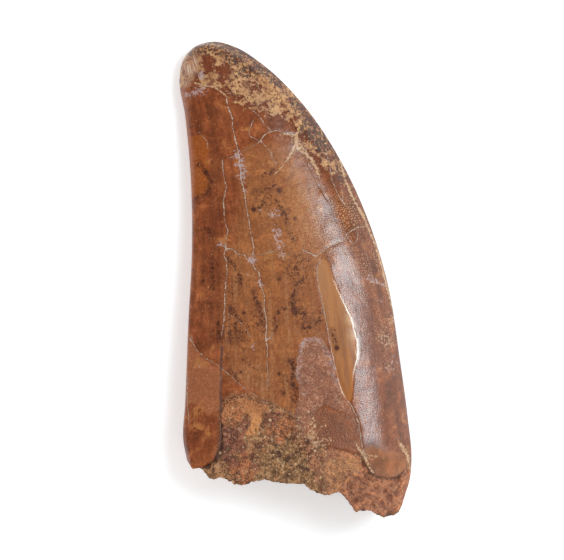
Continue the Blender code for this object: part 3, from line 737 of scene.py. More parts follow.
blade_marks["crack_gap"] = (gap, under_gap, -FAR)
blade_marks["crack_side"] = (side, under_side, -FAR)
gap, side = line_marks(wander_x, wander_y, VEINS)
blade_marks["vein_gap"] = (gap, -FAR, -FAR)
blade_marks["vein_side"] = (side, -FAR, -FAR)
for name, lines in (("chain_gap", CHAINS), ("shadow_line_gap", PAINTED_SHADOW_LINES)):
    gap, _ = line_marks(wander_x, wander_y, lines)
    blade_marks[name] = (gap, -FAR, -FAR)
for name, patches in PATCHES.items():
    mirrored = blotches(-coarse_x - UNDER_SHIFT[0], coarse_y - UNDER_SHIFT[1], patches)
    blade_marks[name] = (blotches(x, y, patches), mirrored, 0.0)
corner = np.abs(line_distance(wander_x, wander_y, FACET_RIGHT) + LIP_INSET)
shining = line_distance(x - PAINTED_SHEEN_SHIFT, y, FLAT_STRIP)
blade_marks["clods"] = (clods(x, y), 1.0, 1.0)
blade_marks["lip"] = (np.exp(-((corner / LIP_BREADTH) ** 2)), 0.0, 0.0)
blade_marks["painted_sheen"] = (np.exp(-((shining / PAINTED_SHEEN_BREADTH) ** 2)), 0.0, 0.0)
blade_marks["sunk"] = (window, FAR, mouth_distance(break_x, break_z))
blade_marks["across"] = (MARKED_WIDTH * across, MARKED_WIDTH * across[::UNDER_STRIDE], break_x)
blade_marks["along"] = (AXIS_LENGTH * up[:, None], AXIS_LENGTH * up[:, None], break_z)
blade_marks["root_end"] = (0.0, 0.0, 1.0)

tooth = build_piece(
    "fossil_tooth",
    [(x, upper_y, upper_z), (coarse_x, coarse_y, under_z[:, ::UNDER_STRIDE]),
     (break_x, break_y, break_z)],
    UNDER_STRIDE, walls=False, marks=blade_marks,
)
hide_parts("tooth")
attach(tooth, "root")


def add_node(tree, kind, inputs=(), **options):
    """A node with these options, whose inputs are set or joined by place or by name."""
    made = tree.nodes.new("ShaderNode" + kind)
    for option, value in options.items():
        setattr(made, option, value)
    for place, value in inputs.items() if isinstance(inputs, dict) else enumerate(inputs):
        if isinstance(value, bpy.types.NodeSocket):
            tree.links.new(value, made.inputs[place])
        elif value is not None:
            made.inputs[place].default_value = value
    return made


def calculate(tree, operation, first, second=None, third=None):
    return add_node(tree, "Math", (first, second, third), operation=operation).outputs[0]


def change_places(tree, operation, *vectors):
    return add_node(tree, "VectorMath", vectors, operation=operation).outputs[0]


def combine(tree, operation, *values):
    """Several values taken together by one operation, such as their product or the highest."""
    result = values[0]
    for value in values[1:]:
        result = calculate(tree, operation, result, value)
    return result


def times(tree, *values):
    return combine(tree, "MULTIPLY", *values)


def roughen(tree, value, field, amount):
    """The value, moved up and down with a field of noise."""
    return calculate(tree, "MULTIPLY_ADD", calculate(tree, "SUBTRACT", field, 0.5), amount, value)


def fade(tree, value, low, high, start=0.0, end=1.0):
    """Runs smoothly from start to end as the value goes from low to high."""
    settings = (value, low, high, start, end)
    return add_node(tree, "MapRange", settings, interpolation_type="SMOOTHSTEP").outputs[0]


def blend(tree, share, first, second, how="MIX"):
    """The first colour, changed by this share towards the second."""
    settings = {0: share, 6: first, 7: second}
    options = {"data_type": "RGBA", "blend_type": how}
    return add_node(tree, "Mix", settings, **options).outputs[2]


def paint(tree, colour, pigment, share, *masks):
    """The colour, with this share of a pigment over it wherever the masks are 1."""
    return blend(tree, times(tree, *masks, share), colour, pigment)


def lighten(tree, colour, value, amount, low=0.3, high=0.7):
    """The colour, darker by this amount where the value is low and lighter where it is high."""
    brightness = fade(tree, value, low, high, 1 - amount, 1 + amount)
    return blend(tree, 1.0, colour, brightness, "MULTIPLY")


def read_mark(tree, name):
    return add_node(tree, "Attribute", attribute_name=name).outputs["Fac"]


def noise_value(tree, places, size, detail=2.0, roughness=0.5, distortion=0.0):
    """Noise whose lumps are this many millimetres across."""
    settings = {
        "Vector": places, "Scale": 1 / size, "Detail": detail, "Roughness": roughness,
        "Distortion": distortion,
    }
    return add_node(tree, "TexNoise", settings).outputs[0]


def in_units(tree, places, sizes):
    """The places in units of these three sizes."""
    divisor = add_node(tree, "CombineXYZ", sizes).outputs[0]
    return change_places(tree, "DIVIDE", places, divisor)


def new_group(name, inputs, outputs):
    """A shader node group with named inputs, as (name, value), and named outputs."""
    tree = bpy.data.node_groups.new(name, "ShaderNodeTree")
    for socket, value in inputs:
        kind = "NodeSocketVector" if isinstance(value, tuple) else "NodeSocketFloat"
        made = tree.interface.new_socket(socket, in_out="INPUT", socket_type=kind)
        made.default_value = value
    for socket in outputs:
        tree.interface.new_socket(socket, in_out="OUTPUT", socket_type="NodeSocketFloat")
    given = tree.nodes.new("NodeGroupInput").outputs
    return tree, given, tree.nodes.new("NodeGroupOutput").inputs


def use_group(tree, group, inputs, output):
    made = tree.nodes.new("ShaderNodeGroup")
    made.node_tree = group
    for name, value in inputs.items():
        if isinstance(value, bpy.types.NodeSocket):
            tree.links.new(value, made.inputs[name])
        else:
            made.inputs[name].default_value = value
    return made.outputs[output]


# A patch with a ragged border: 1 inside it, from a mark that says how far inside a place is.
ragged_patch, given, out = new_group(
    "ragged patch",
    [("Place", (0, 0, 0)), ("Inside", 0.0), ("Softness", 0.3), ("Raggedness", 0.5), ("Size", 1.0)],
    ["Mask"],
)
places = in_units(ragged_patch, given["Place"], (given["Size"],) * 3)
torn = noise_value(ragged_patch, places, 1.0, 4.0, 0.65)
torn = calculate(ragged_patch, "MULTIPLY", calculate(ragged_patch, "SUBTRACT", torn, 0.5), 4.0)
torn = calculate(ragged_patch, "MULTIPLY_ADD", torn, given["Raggedness"], given["Inside"])
low = calculate(ragged_patch, "MULTIPLY", given["Softness"], -1.0)
mask = fade(ragged_patch, torn, low, given["Softness"])
ragged_patch.links.new(mask, out["Mask"])

# Crisp blots that cover more of the surface where the density is higher, up to all of it at 1.
blots, given, out = new_group(
    "blots", [("Place", (0, 0, 0)), ("Size", 1.0), ("Density", 0.5)], ["Mask"]
)
places = in_units(blots, given["Place"], (given["Size"],) * 3)
field = noise_value(blots, places, 1.0, 5.0, 0.68, 0.35)
level = calculate(blots, "MULTIPLY_ADD", given["Density"], -0.36, 0.70)
field = calculate(blots, "SUBTRACT", field, level)
blots.links.new(fade(blots, field, -0.012, 0.03), out["Mask"])

# Dark mineral that grew as starry dots strung on fine branching lines.
dark_specks, given, out = new_group(
    "dark specks", [("Place", (0, 0, 0)), ("Density", 0.5)], ["Mask", "Halo"]
)
dots = noise_value(dark_specks, given["Place"], 0.62, 4.0, 0.7, 0.5)
dots = calculate(dark_specks, "MULTIPLY_ADD", given["Density"], 0.14, dots)
branch = noise_value(dark_specks, given["Place"], 2.1, 3.0, 0.55, 0.8)
branch = calculate(dark_specks, "ABSOLUTE", calculate(dark_specks, "SUBTRACT", branch, 0.5))
near = fade(dark_specks, branch, 0.0, 0.04, 0.15, 0.0)
strung = times(dark_specks, near, fade(dark_specks, given["Density"], 0.15, 0.6))
dots = calculate(dark_specks, "ADD", dots, strung)
dark_specks.links.new(fade(dark_specks, dots, 0.67, 0.73), out["Mask"])
dark_specks.links.new(fade(dark_specks, dots, 0.56, 0.73), out["Halo"])

# Pale beads in rows along the enamel's growth.
bead_rows, given, out = new_group(
    "bead rows",
    [("Place", (0, 0, 0)), ("Across", 0.5), ("Along", 0.7), ("Width", 0.2)],
    ["Mask"],
)
places = in_units(bead_rows, given["Place"], (given["Across"], given["Along"], 1.0))
settings = {"Vector": places, "Scale": 1.0, "Randomness": 0.65}
beads = add_node(bead_rows, "TexVoronoi", settings, voronoi_dimensions="2D").outputs["Distance"]
inner = calculate(bead_rows, "MULTIPLY", given["Width"], 0.5)
bead_rows.links.new(fade(bead_rows, beads, inner, given["Width"], 1.0, 0.0), out["Mask"])

# Round dots scattered at random, in this share of the places that could hold one.
pinpoints, given, out = new_group(
    "pinpoints",
    [("Place", (0, 0, 0)), ("Spacing", 0.8), ("Radius", 0.15), ("Share", 0.5)],
    ["Mask"],
)
places = in_units(pinpoints, given["Place"], (given["Spacing"],) * 3)
dot = add_node(pinpoints, "TexVoronoi", {"Vector": places, "Scale": 1.0})
chosen = add_node(pinpoints, "SeparateColor", (dot.outputs["Color"],)).outputs[0]
chosen = calculate(pinpoints, "LESS_THAN", chosen, given["Share"])
distance = calculate(pinpoints, "DIVIDE", dot.outputs["Distance"], given["Radius"])
distance = calculate(pinpoints, "MULTIPLY", distance, given["Spacing"])
mask = times(pinpoints, fade(pinpoints, distance, 0.6, 1.1, 1.0, 0.0), chosen)
pinpoints.links.new(mask, out["Mask"])

# A net of dark rings round cells, broken up at random.
ring_net, given, out = new_group("ring net", [("Place", (0, 0, 0)), ("Size", 1.0)], ["Mask"])
places = in_units(ring_net, given["Place"], (given["Size"],) * 3)
bent = add_node(ring_net, "TexNoise", {"Vector": places, "Scale": 1.6, "Detail": 2.0})
bent = change_places(ring_net, "MULTIPLY_ADD", bent.outputs["Color"], (0.9,) * 3, places)
settings = {"Vector": bent, "Scale": 1.0}
cells = add_node(ring_net, "TexVoronoi", settings, feature="DISTANCE_TO_EDGE").outputs["Distance"]
worn_off = noise_value(ring_net, places, 1.3, 3.0, 0.6)
reach = calculate(ring_net, "MULTIPLY_ADD", worn_off, 0.5, -0.16)
net = calculate(ring_net, "SUBTRACT", cells, reach)
ring_net.links.new(fade(ring_net, net, -0.05, 0.02, 1.0, 0.0), out["Mask"])

# Cemented grains: their rounded height, a tint that differs from grain to grain, and the gaps.
sand_grains, given, out = new_group(
    "sand grains", [("Place", (0, 0, 0)), ("Size", 0.4)], ["Height", "Tint", "Gap"]
)
spread = calculate(sand_grains, "DIVIDE", 1.0, given["Size"])
settings = {"Vector": given["Place"], "Scale": spread}
grain = add_node(sand_grains, "TexVoronoi", settings)
edges = add_node(sand_grains, "TexVoronoi", settings, feature="DISTANCE_TO_EDGE").outputs["Distance"]
tint = add_node(sand_grains, "SeparateColor", (grain.outputs["Color"],))
height = fade(sand_grains, grain.outputs["Distance"], 0.0, 0.8, 1.0, 0.0)
sand_grains.links.new(height, out["Height"])
sand_grains.links.new(tint.outputs[0], out["Tint"])
sand_grains.links.new(fade(sand_grains, edges, 0.0, 0.16, 1.0, 0.0), out["Gap"])


def new_material(name):
    """A material, its tree, its Principled shader, and places in millimetres."""
    material = bpy.data.materials.new(name)
    material.use_nodes = True
    tree = material.node_tree
    position = add_node(tree, "TexCoord").outputs["Object"]
    places = change_places(tree, "MULTIPLY", position, (1 / MM,) * 3)
    return material, tree, tree.nodes["Principled BSDF"], places


# Enamel, dentine and their stains, as colours, and the colours of painted highlights, sheen and shade.
ENAMEL = (0.250, 0.060, 0.019, 1)
ENAMEL_DARK = (0.135, 0.034, 0.013, 1)
ENAMEL_LIGHT = (0.325, 0.088, 0.027, 1)
FLANK = (0.225, 0.062, 0.020, 1)
FLANK_LOW_PAINTED_LIGHTER = (0.262, 0.072, 0.022, 1)
FLANK_EDGE_PAINTED_DARKER = (0.215, 0.058, 0.017, 1)
HONEY_COLOUR = (0.435, 0.140, 0.035, 1)
HONEY_DULL = (0.290, 0.086, 0.023, 1)
AMBER = (0.500, 0.190, 0.052, 1)
FACET_TOP = (0.435, 0.180, 0.068, 1)
FACET_LOW = (0.440, 0.152, 0.040, 1)
FACET_PAINTED_HIGHLIGHT = (0.640, 0.390, 0.200, 1)
FACET_DULL = (0.310, 0.120, 0.050, 1)
OCHRE = (0.640, 0.335, 0.140, 1)
OCHRE_DARK = (0.460, 0.210, 0.085, 1)
RED_BROWN = (0.155, 0.037, 0.016, 1)
BRUSHED = (0.700, 0.500, 0.360, 1)
SMOKE = (0.072, 0.038, 0.027, 1)
SPECK = (0.085, 0.025, 0.012, 1)
STAIN = (0.150, 0.042, 0.018, 1)
CRUST_COLOUR = (0.345, 0.115, 0.052, 1)
CRUST_PALE = (0.520, 0.260, 0.150, 1)
CRUST_DARK = (0.200, 0.062, 0.034, 1)
WORN_COLOUR = (0.290, 0.078, 0.018, 1)
BARE_COLOUR = (0.610, 0.220, 0.093, 1)
BARE_TAN = (0.700, 0.300, 0.112, 1)
GRAIN_COLOUR = (0.760, 0.470, 0.270, 1)
LOBE_COLOUR = (0.320, 0.108, 0.038, 1)
ORANGE_COLOUR = (0.360, 0.090, 0.015, 1)
LOBE_LIGHT = (0.370, 0.122, 0.050, 1)
FILLING = (0.640, 0.460, 0.340, 1)
PAINTED_SHEEN = (0.300, 0.175, 0.150, 1)
RIM_PAINTED_HIGHLIGHT = (0.850, 0.740, 0.640, 1)
LILAC = (0.500, 0.350, 0.330, 1)
DUST = (0.620, 0.390, 0.240, 1)
VEIN_COLOUR = (0.600, 0.350, 0.180, 1)
BREAK_COLOUR = (0.230, 0.105, 0.058, 1)
SAND_STAIN = (0.250, 0.100, 0.045, 1)
ENAMEL_IOR = 1.63
# The width of streaks and wrinkles over their length, which runs along the blade.
STREAK_STRETCH = 0.09
WRINKLE_STRETCH = 0.30

material, tree, surface, places = new_material("enamel and dentine")
along = read_mark(tree, "along")
crosswise = read_mark(tree, "across")
flow = add_node(tree, "CombineXYZ", (crosswise, along, 0.0)).outputs[0]
streaks = change_places(tree, "MULTIPLY", flow, (1.0, STREAK_STRETCH, 1.0))
wrinkled = change_places(tree, "MULTIPLY", flow, (1.0, WRINKLE_STRETCH, 1.0))


def patch(tree, places, name, softness, raggedness, size):
    """1 in the outlined area that this mark is for, with a ragged border."""
    settings = {
        "Place": places, "Inside": read_mark(tree, name), "Softness": softness,
        "Raggedness": raggedness, "Size": size,
    }
    return use_group(tree, ragged_patch, settings, "Mask")


def spots(tree, places, density, size, offset=0.0):
    """Blots of this size, as dense as this share or mark says."""
    moved = change_places(tree, "ADD", places, (offset,) * 3)
    return use_group(tree, blots, {"Place": moved, "Size": size, "Density": density}, "Mask")


def dotted(tree, places, share, spacing, radius):
    """Round dots at random places."""
    settings = {"Place": places, "Spacing": spacing, "Radius": radius, "Share": share}
    return use_group(tree, pinpoints, settings, "Mask")


def area(tree, cloudy, name, low=0.35, high=0.65, break_up=1.0):
    """1 in the round patches that this mark is for, with a cloudy border."""
    return fade(tree, roughen(tree, read_mark(tree, name), cloudy, break_up), low, high)


def line_mask(tree, fine, kind, low, high, jitter):
    """1 along the lines that these two marks measure from, with an uneven width."""
    reach = calculate(tree, "ABSOLUTE", read_mark(tree, kind + "_side"))
    close = fade(tree, read_mark(tree, kind + "_gap"), 3.0, 4.0, 1.0, 0.0)
    return times(tree, fade(tree, roughen(tree, reach, fine, jitter), low, high, 1.0, 0.0), close)


broad = noise_value(tree, places, 8.0, 3.0, 0.55)
cloudy = noise_value(tree, places, 2.6, 5.0, 0.62, 0.5)
fine = noise_value(tree, places, 0.50, 3.0, 0.65)
speckle = noise_value(tree, places, 0.20, 2.0, 0.6)
streak = noise_value(tree, streaks, 1.1, 4.0, 0.6)
hairs = noise_value(tree, streaks, 0.38, 3.0, 0.6)

# Enamel on the two sides, with dark smears and redder patches.
colour = blend(tree, fade(tree, broad, 0.38, 0.62), ENAMEL, ENAMEL_LIGHT)
# Painted light and shade: the bowed side is lighter low down, where it turns into shade, and darker at
# its far edge, against the bright rim it reflects there.
flank = blend(tree, fade(tree, along, 30.0, 52.0, 1.0, 0.0), FLANK, FLANK_LOW_PAINTED_LIGHTER)
flank = blend(tree, fade(tree, crosswise, 35.0, 39.0), flank, FLANK_EDGE_PAINTED_DARKER)
colour = blend(tree, fade(tree, crosswise, 22.0, 30.0), colour, flank)
colour = lighten(tree, colour, cloudy, 0.28)
colour = lighten(tree, colour, streak, 0.18)
colour = paint(tree, colour, ENAMEL_DARK, 0.35, patch(tree, places, "dark_band", 0.9, 0.7, 2.5))
colour = paint(tree, colour, ORANGE_COLOUR, 0.85, patch(tree, places, "orange", 0.12, 0.3, 0.9))
colour = paint(tree, colour, LOBE_LIGHT, 0.85, patch(tree, places, "lobe_top", 0.3, 0.3, 1.5))

# Dentine in the middle, duller and more streaked towards the root.
honey = patch(tree, places, "honey", 1.6, 1.2, 3.0)
inner = blend(tree, fade(tree, cloudy, 0.36, 0.60), HONEY_COLOUR, HONEY_DULL)
low_down = fade(tree, along, 30.0, 52.0, 1.0, 0.35)
inner = paint(tree, inner, HONEY_DULL, 0.75, fade(tree, hairs, 0.44, 0.60), low_down)
inner = paint(tree, inner, FACET_TOP, 0.6, fade(tree, streak, 0.50, 0.64), low_down)
colour = blend(tree, honey, colour, inner)
colour = paint(tree, colour, AMBER, 0.6, area(tree, cloudy, "amber", 0.25, 0.75, 3.5))
smears = noise_value(tree, streaks, 0.7, 5.0, 0.72, 0.6)
smeared = times(tree, fade(tree, read_mark(tree, "clouds"), 0.10, 0.9), fade(tree, smears, 0.42, 0.60))
colour = paint(tree, colour, ENAMEL_DARK, 0.8, smeared)
facet_mask = patch(tree, places, "facet", 0.10, 0.05, 0.5)
facet = blend(tree, fade(tree, along, 14.0, 40.0), FACET_LOW, FACET_TOP)
smudge_ends = times(tree, fade(tree, along, 16.0, 22.0), fade(tree, along, 38.0, 32.0))
smudge = times(tree, smudge_ends, fade(tree, smears, 0.40, 0.62))
facet = paint(tree, facet, FACET_DULL, 0.90, smudge)
# Painted highlight: pale patches near the facet's right edge.
facet = paint(tree, facet, FACET_PAINTED_HIGHLIGHT, 0.95, area(tree, cloudy, "facet_highlight", 0.0, 1.2, 0.4))
# Painted sheen: a greyish-lilac haze painted beside the broad shine of the bowed side.
colour = paint(tree, colour, PAINTED_SHEEN, 0.42, read_mark(tree, "painted_sheen"))
colour = lighten(tree, colour, fine, 0.18)
colour = lighten(tree, colour, speckle, 0.06)
colour = blend(tree, facet_mask, colour, lighten(tree, facet, streak, 0.08))

# Ochre lacework over the tip and the upper part of the bowed edge, with smoky patches.
mottled = read_mark(tree, "mottled")
ochre_share = fade(tree, mottled, -3.0, 2.0, 0.0, 0.72)
ochre_share = calculate(tree, "MULTIPLY_ADD", read_mark(tree, "rubbed"), -0.55, ochre_share)
on_tip = fade(tree, mottled, -1.5, 1.5)
rim = times(tree, on_tip, fade(tree, crosswise, 34.5, 39.0))
ochre_share = calculate(tree, "MULTIPLY_ADD", rim, -0.12, ochre_share)
colour = paint(tree, colour, RED_BROWN, 0.65, on_tip)
ochre = blend(tree, fade(tree, cloudy, 0.40, 0.62), OCHRE, OCHRE_DARK)
ochre = lighten(tree, ochre, speckle, 0.15)
ochre_mask = spots(tree, places, ochre_share, 1.55)
ochre_dots = spots(tree, places, times(tree, on_tip, 0.26), 0.50, 90.0)
ochre_mask = calculate(tree, "MAXIMUM", ochre_mask, ochre_dots)
colour = paint(tree, colour, ochre, 0.95, ochre_mask)
rings = use_group(tree, ring_net, {"Place": places, "Size": 1.10}, "Mask")
colour = paint(tree, colour, RED_BROWN, 0.42, on_tip, rings)
smoky = calculate(tree, "MULTIPLY_ADD", read_mark(tree, "smoky"), 0.80, times(tree, rim, 0.40))
smoky = spots(tree, places, calculate(tree, "MINIMUM", smoky, 0.62), 0.60, 40.0)
colour = paint(tree, colour, SMOKE, 0.92, smoky)
holes = times(tree, on_tip, spots(tree, places, 0.40, 0.85, 120.0))
colour = paint(tree, colour, RED_BROWN, 0.75, holes)
dots = dotted(tree, places, times(tree, on_tip, 0.50), 0.70, 0.23)
colour = paint(tree, colour, SPECK, 0.85, dots)
brushed = fade(tree, read_mark(tree, "brushed"), 0.20, 1.0)
colour = paint(tree, colour, ORANGE_COLOUR, 0.65, brushed)
brushed = times(tree, brushed, fade(tree, smears, 0.40, 0.56), fade(tree, cloudy, 0.40, 0.52), 0.95)
colour = blend(tree, brushed, colour, BRUSHED)

# Dark mineral stains, with chains of dots and a few knots.
density = calculate(tree, "MULTIPLY_ADD", honey, 0.16, times(tree, read_mark(tree, "stains"), 0.85))
specks = {"Place": places, "Density": density}
speck = use_group(tree, dark_specks, specks, "Mask")
halo = use_group(tree, dark_specks, specks, "Halo")
colour = paint(tree, colour, STAIN, 0.55, halo, fade(tree, density, 0.10, 0.55))
colour = blend(tree, times(tree, speck, fade(tree, density, 0.10, 0.40, 0.30, 0.8)), colour, SPECK)
chained = roughen(tree, read_mark(tree, "chain_gap"), fine, 8.0)
colour = paint(tree, colour, STAIN, 0.35, fade(tree, chained, 0.8, 3.2, 1.0, 0.0))
colour = paint(tree, colour, SPECK, 0.90, fade(tree, chained, -0.3, 0.6, 1.0, 0.0))
strung = times(tree, fade(tree, read_mark(tree, "chain_gap"), 0.6, 2.6, 1.0, 0.0), 0.8)
colour = paint(tree, colour, SPECK, 0.9, dotted(tree, places, strung, 0.52, 0.22))
knotted = roughen(tree, read_mark(tree, "knots"), fine, 1.4)
colour = paint(tree, colour, STAIN, 0.75, fade(tree, knotted, 0.25, 0.65))
colour = paint(tree, colour, SPECK, 0.9, fade(tree, knotted, 0.60, 0.95))
tiny = dotted(tree, places, 0.10, 0.70, 0.10)
colour = paint(tree, colour, SPECK, 0.65, tiny)

# Sediment, worn root and bare root, with painted shade in the bare root's pits and creases and on the
# sunk walls.
grit_settings = {"Place": places, "Size": 0.30}
grit = use_group(tree, sand_grains, grit_settings, "Tint")
grit_height = use_group(tree, sand_grains, grit_settings, "Height")
worn = times(tree, patch(tree, places, "worn", 0.8, 0.6, 1.2), fade(tree, along, 18.0, 13.5))
colour = paint(tree, colour, lighten(tree, WORN_COLOUR, cloudy, 0.25), 0.85, worn)
crust = patch(tree, places, "crust", 0.12, 0.20, 0.6)
crusty = blend(tree, fade(tree, grit, 0.60, 1.0, 0.0, 0.75), CRUST_COLOUR, CRUST_PALE)
crusty = blend(tree, fade(tree, grit, 0.40, 0.05, 0.0, 0.55), crusty, CRUST_DARK)
crusty = lighten(tree, crusty, cloudy, 0.22)
crust_rim = fade(tree, read_mark(tree, "crust"), 0.2, 1.5, 1.0, 0.0)
crust_rim = times(tree, crust, crust_rim, fade(tree, along, 18.0, 23.0))
crusty = paint(tree, crusty, LILAC, 0.7, crust_rim, fade(tree, fine, 0.42, 0.62))
colour = blend(tree, crust, colour, crusty)
bare = patch(tree, places, "bare", 0.3, 0.5, 1.2)
tan = area(tree, cloudy, "tan", 0.30, 0.60, 2.0)
stone = paint(tree, BARE_COLOUR, BARE_TAN, 0.9, tan)
stone = lighten(tree, stone, cloudy, 0.25)
clod_settings = {"Place": places, "Size": 0.85}
clod_tint = use_group(tree, sand_grains, clod_settings, "Tint")
painted_clod_gap_shade = use_group(tree, sand_grains, clod_settings, "Gap")
stone = lighten(tree, stone, clod_tint, 0.22, 0.0, 1.0)
# Painted shade in the gaps between the clods.
stone = paint(tree, stone, CRUST_DARK, 0.35, painted_clod_gap_shade, fade(tree, fine, 0.40, 0.60))
stone = blend(tree, fade(tree, grit, 0.62, 1.0, 0.0, 0.60), stone, CRUST_PALE)
stone = blend(tree, fade(tree, grit, 0.35, 0.05, 0.0, 0.6), stone, CRUST_DARK)
pitted = noise_value(tree, places, 1.1, 4.0, 0.62)
# Painted shade in the pits of the bump and in the creases between the clods of the relief.
painted_pit_shade = fade(tree, pitted, 0.50, 0.36)
stone = blend(tree, times(tree, painted_pit_shade, fade(tree, tan, 0.0, 1.0, 0.55, 0.2)), stone, CRUST_DARK)
stone = blend(tree, fade(tree, read_mark(tree, "clods"), 0.35, -0.1, 0.0, 0.55), stone, CRUST_DARK)
colour = blend(tree, bare, colour, stone)
lobe = patch(tree, places, "lobe", 0.3, 0.4, 0.9)
colour = blend(tree, lobe, colour, lighten(tree, LOBE_COLOUR, cloudy, 0.3))
grainy = read_mark(tree, "grainy")
sandy = times(tree, spots(tree, places, times(tree, grainy, 0.50), 0.6, 15.0), 0.75)
colour = blend(tree, sandy, colour, VEIN_COLOUR)
large_grains = dotted(tree, places, times(tree, grainy, 0.50), 0.85, 0.27)
colour = paint(tree, colour, GRAIN_COLOUR, 0.70, large_grains)
root_end = read_mark(tree, "root_end")
colour = blend(tree, root_end, colour, lighten(tree, BREAK_COLOUR, cloudy, 0.3))
from_window = roughen(tree, read_mark(tree, "sunk"), cloudy, 3.0)
sand_cast = fade(tree, from_window, -1.6, 0.1)
sand_cast = times(tree, sand_cast, fade(tree, crosswise, 4.0, 9.0))
sanded = blend(tree, fade(tree, grit, 0.50, 1.0, 0.0, 0.8), SAND_STAIN, VEIN_COLOUR)
sanded = blend(tree, fade(tree, grit, 0.40, 0.05, 0.0, 0.8), sanded, SMOKE)
colour = paint(tree, colour, sanded, 0.85, sand_cast)
# Painted shade: the sunk walls inside the broken window and the mouth of the pulp cavity on the break
# are darkened.
colour = blend(tree, fade(tree, read_mark(tree, "sunk"), 0.15, 0.5), colour, ENAMEL_DARK)

# Pale beads, filled cracks with painted shade beside them, veins, scuffs with a painted highlight, a
# painted highlight on the facet's corner and painted shadow lines.
beads = {"Place": flow, "Across": 0.42, "Along": 0.46, "Width": 0.30}
beads = use_group(tree, bead_rows, beads, "Mask")
beaded = times(tree, beads, read_mark(tree, "beaded"), fade(tree, streak, 0.40, 0.54), 0.85)
colour = blend(tree, beaded, colour, VEIN_COLOUR)
vein = line_mask(tree, fine, "vein", 0.1, 1.0, 5.0)
colour = paint(tree, colour, ENAMEL_DARK, 0.35, line_mask(tree, fine, "vein", 0.8, 2.6, 5.0))
colour = paint(tree, colour, VEIN_COLOUR, 0.9, vein)
colour = paint(tree, colour, FILLING, 0.7, line_mask(tree, fine, "vein", -0.8, 0.1, 5.0))
crack = line_mask(tree, fine, "crack", 0.0, 1.0, 5.0)
crack = times(tree, crack, fade(tree, noise_value(tree, places, 0.8, 3.0, 0.6), 0.34, 0.50, 0.4, 1.0))
# Painted highlight: a pale line along the rounded corner at the facet's right edge.
rim_painted_highlight = fade(tree, read_mark(tree, "lip"), 0.70, 0.95)
rim_painted_highlight = times(tree, rim_painted_highlight, fade(tree, along, 20.0, 25.0), fade(tree, along, 40.0, 34.0))
colour = paint(tree, colour, RIM_PAINTED_HIGHLIGHT, 0.75, rim_painted_highlight)
# Painted shadow: dark lines under the enamel's rounded end and beside the left lobe's step.
painted_shadow_line = fade(tree, read_mark(tree, "shadow_line_gap"), 0.5, 1.8, 1.0, 0.0)
colour = blend(tree, times(tree, painted_shadow_line, fade(tree, cloudy, 0.36, 0.54, 0.2, 0.75)), colour, SPECK)
# Painted shade: a dark border beside each crack.
colour = paint(tree, colour, ENAMEL_DARK, 0.45, line_mask(tree, fine, "crack", 0.8, 2.6, 3.0))
colour = paint(tree, colour, FILLING, 0.85, crack)
# Lilac scuff patches, which near the tip's left edge are a painted highlight.
scuffs_and_painted_highlight = spots(tree, places, times(tree, read_mark(tree, "scuffs_and_tip_highlight"), 0.60), 0.5, 60.0)
colour = paint(tree, colour, LILAC, 0.8, scuffs_and_painted_highlight)
not_honey = calculate(tree, "SUBTRACT", 1.0, times(tree, honey, 0.6))
dust = times(tree, dotted(tree, places, 0.16, 0.62, 0.11), not_honey, 0.7)
dusted = times(tree, spots(tree, places, times(tree, read_mark(tree, "dusty"), 0.55), 0.42, 70.0), 0.65)
colour = blend(tree, dusted, colour, DUST)
colour = blend(tree, dust, colour, VEIN_COLOUR)
tree.links.new(colour, surface.inputs["Base Color"])

# Stone and sediment are dull. The rounded end and the bowed edge are rubbed matt.
rounded_end = patch(tree, places, "lobe", 2.2, 0.4, 0.9)
worn_dull = times(tree, worn, 0.5)
end_dull = times(tree, rounded_end, 0.60)
dull = combine(tree, "MAXIMUM", crust, bare, root_end, worn_dull, painted_shadow_line, end_dull)
gloss = calculate(tree, "MULTIPLY_ADD", fine, 0.16, fade(tree, along, 34.0, 62.0, 0.16, 0.14))
gloss = calculate(tree, "MULTIPLY_ADD", honey, 0.10, gloss)
gloss = calculate(tree, "MULTIPLY_ADD", times(tree, ochre_mask, on_tip), 0.10, gloss)
gloss = calculate(tree, "MULTIPLY_ADD", read_mark(tree, "lip"), -0.12, gloss)
far_edge = fade(tree, crosswise, 34.5, 38.5)
rubbed_matt = calculate(tree, "MAXIMUM", rounded_end, far_edge)
gloss = calculate(tree, "MULTIPLY_ADD", rubbed_matt, 0.38, gloss)
tree.links.new(calculate(tree, "MULTIPLY_ADD", dull, 0.42, gloss), surface.inputs["Roughness"])
surface.inputs["IOR"].default_value = ENAMEL_IOR

# Fine pebbles and lengthwise wrinkles break up the shine.
pebbles = noise_value(tree, places, 0.25, 2.0, 0.5)
wrinkles = noise_value(tree, wrinkled, 0.46, 2.0, 0.5)
relief = times(tree, pebbles, fade(tree, along, 34.0, 60.0, 0.042, 0.018))
wrinkled_more = fade(tree, along, 34.0, 60.0, 0.045, 0.012)
relief = calculate(tree, "MULTIPLY_ADD", wrinkles, wrinkled_more, relief)
smooth = calculate(tree, "MAXIMUM", times(tree, facet_mask, 0.85), read_mark(tree, "lip"))
relief = times(tree, relief, calculate(tree, "SUBTRACT", 1.0, smooth))
relief = calculate(tree, "MULTIPLY_ADD", cloudy, 0.035, relief)
relief = calculate(tree, "ADD", relief, times(tree, dull, grit_height, 0.14))
relief = calculate(tree, "ADD", relief, times(tree, bare, pitted, 1.1))
relief = calculate(tree, "MULTIPLY_ADD", crack, -0.04, relief)
relief = calculate(tree, "MULTIPLY_ADD", times(tree, ochre_mask, on_tip), 0.02, relief)
bump = add_node(tree, "Bump", {"Strength": 1.0, "Distance": MM, "Height": relief})
tree.links.new(bump.outputs[0], surface.inputs["Normal"])
tooth.data.materials.append(material)


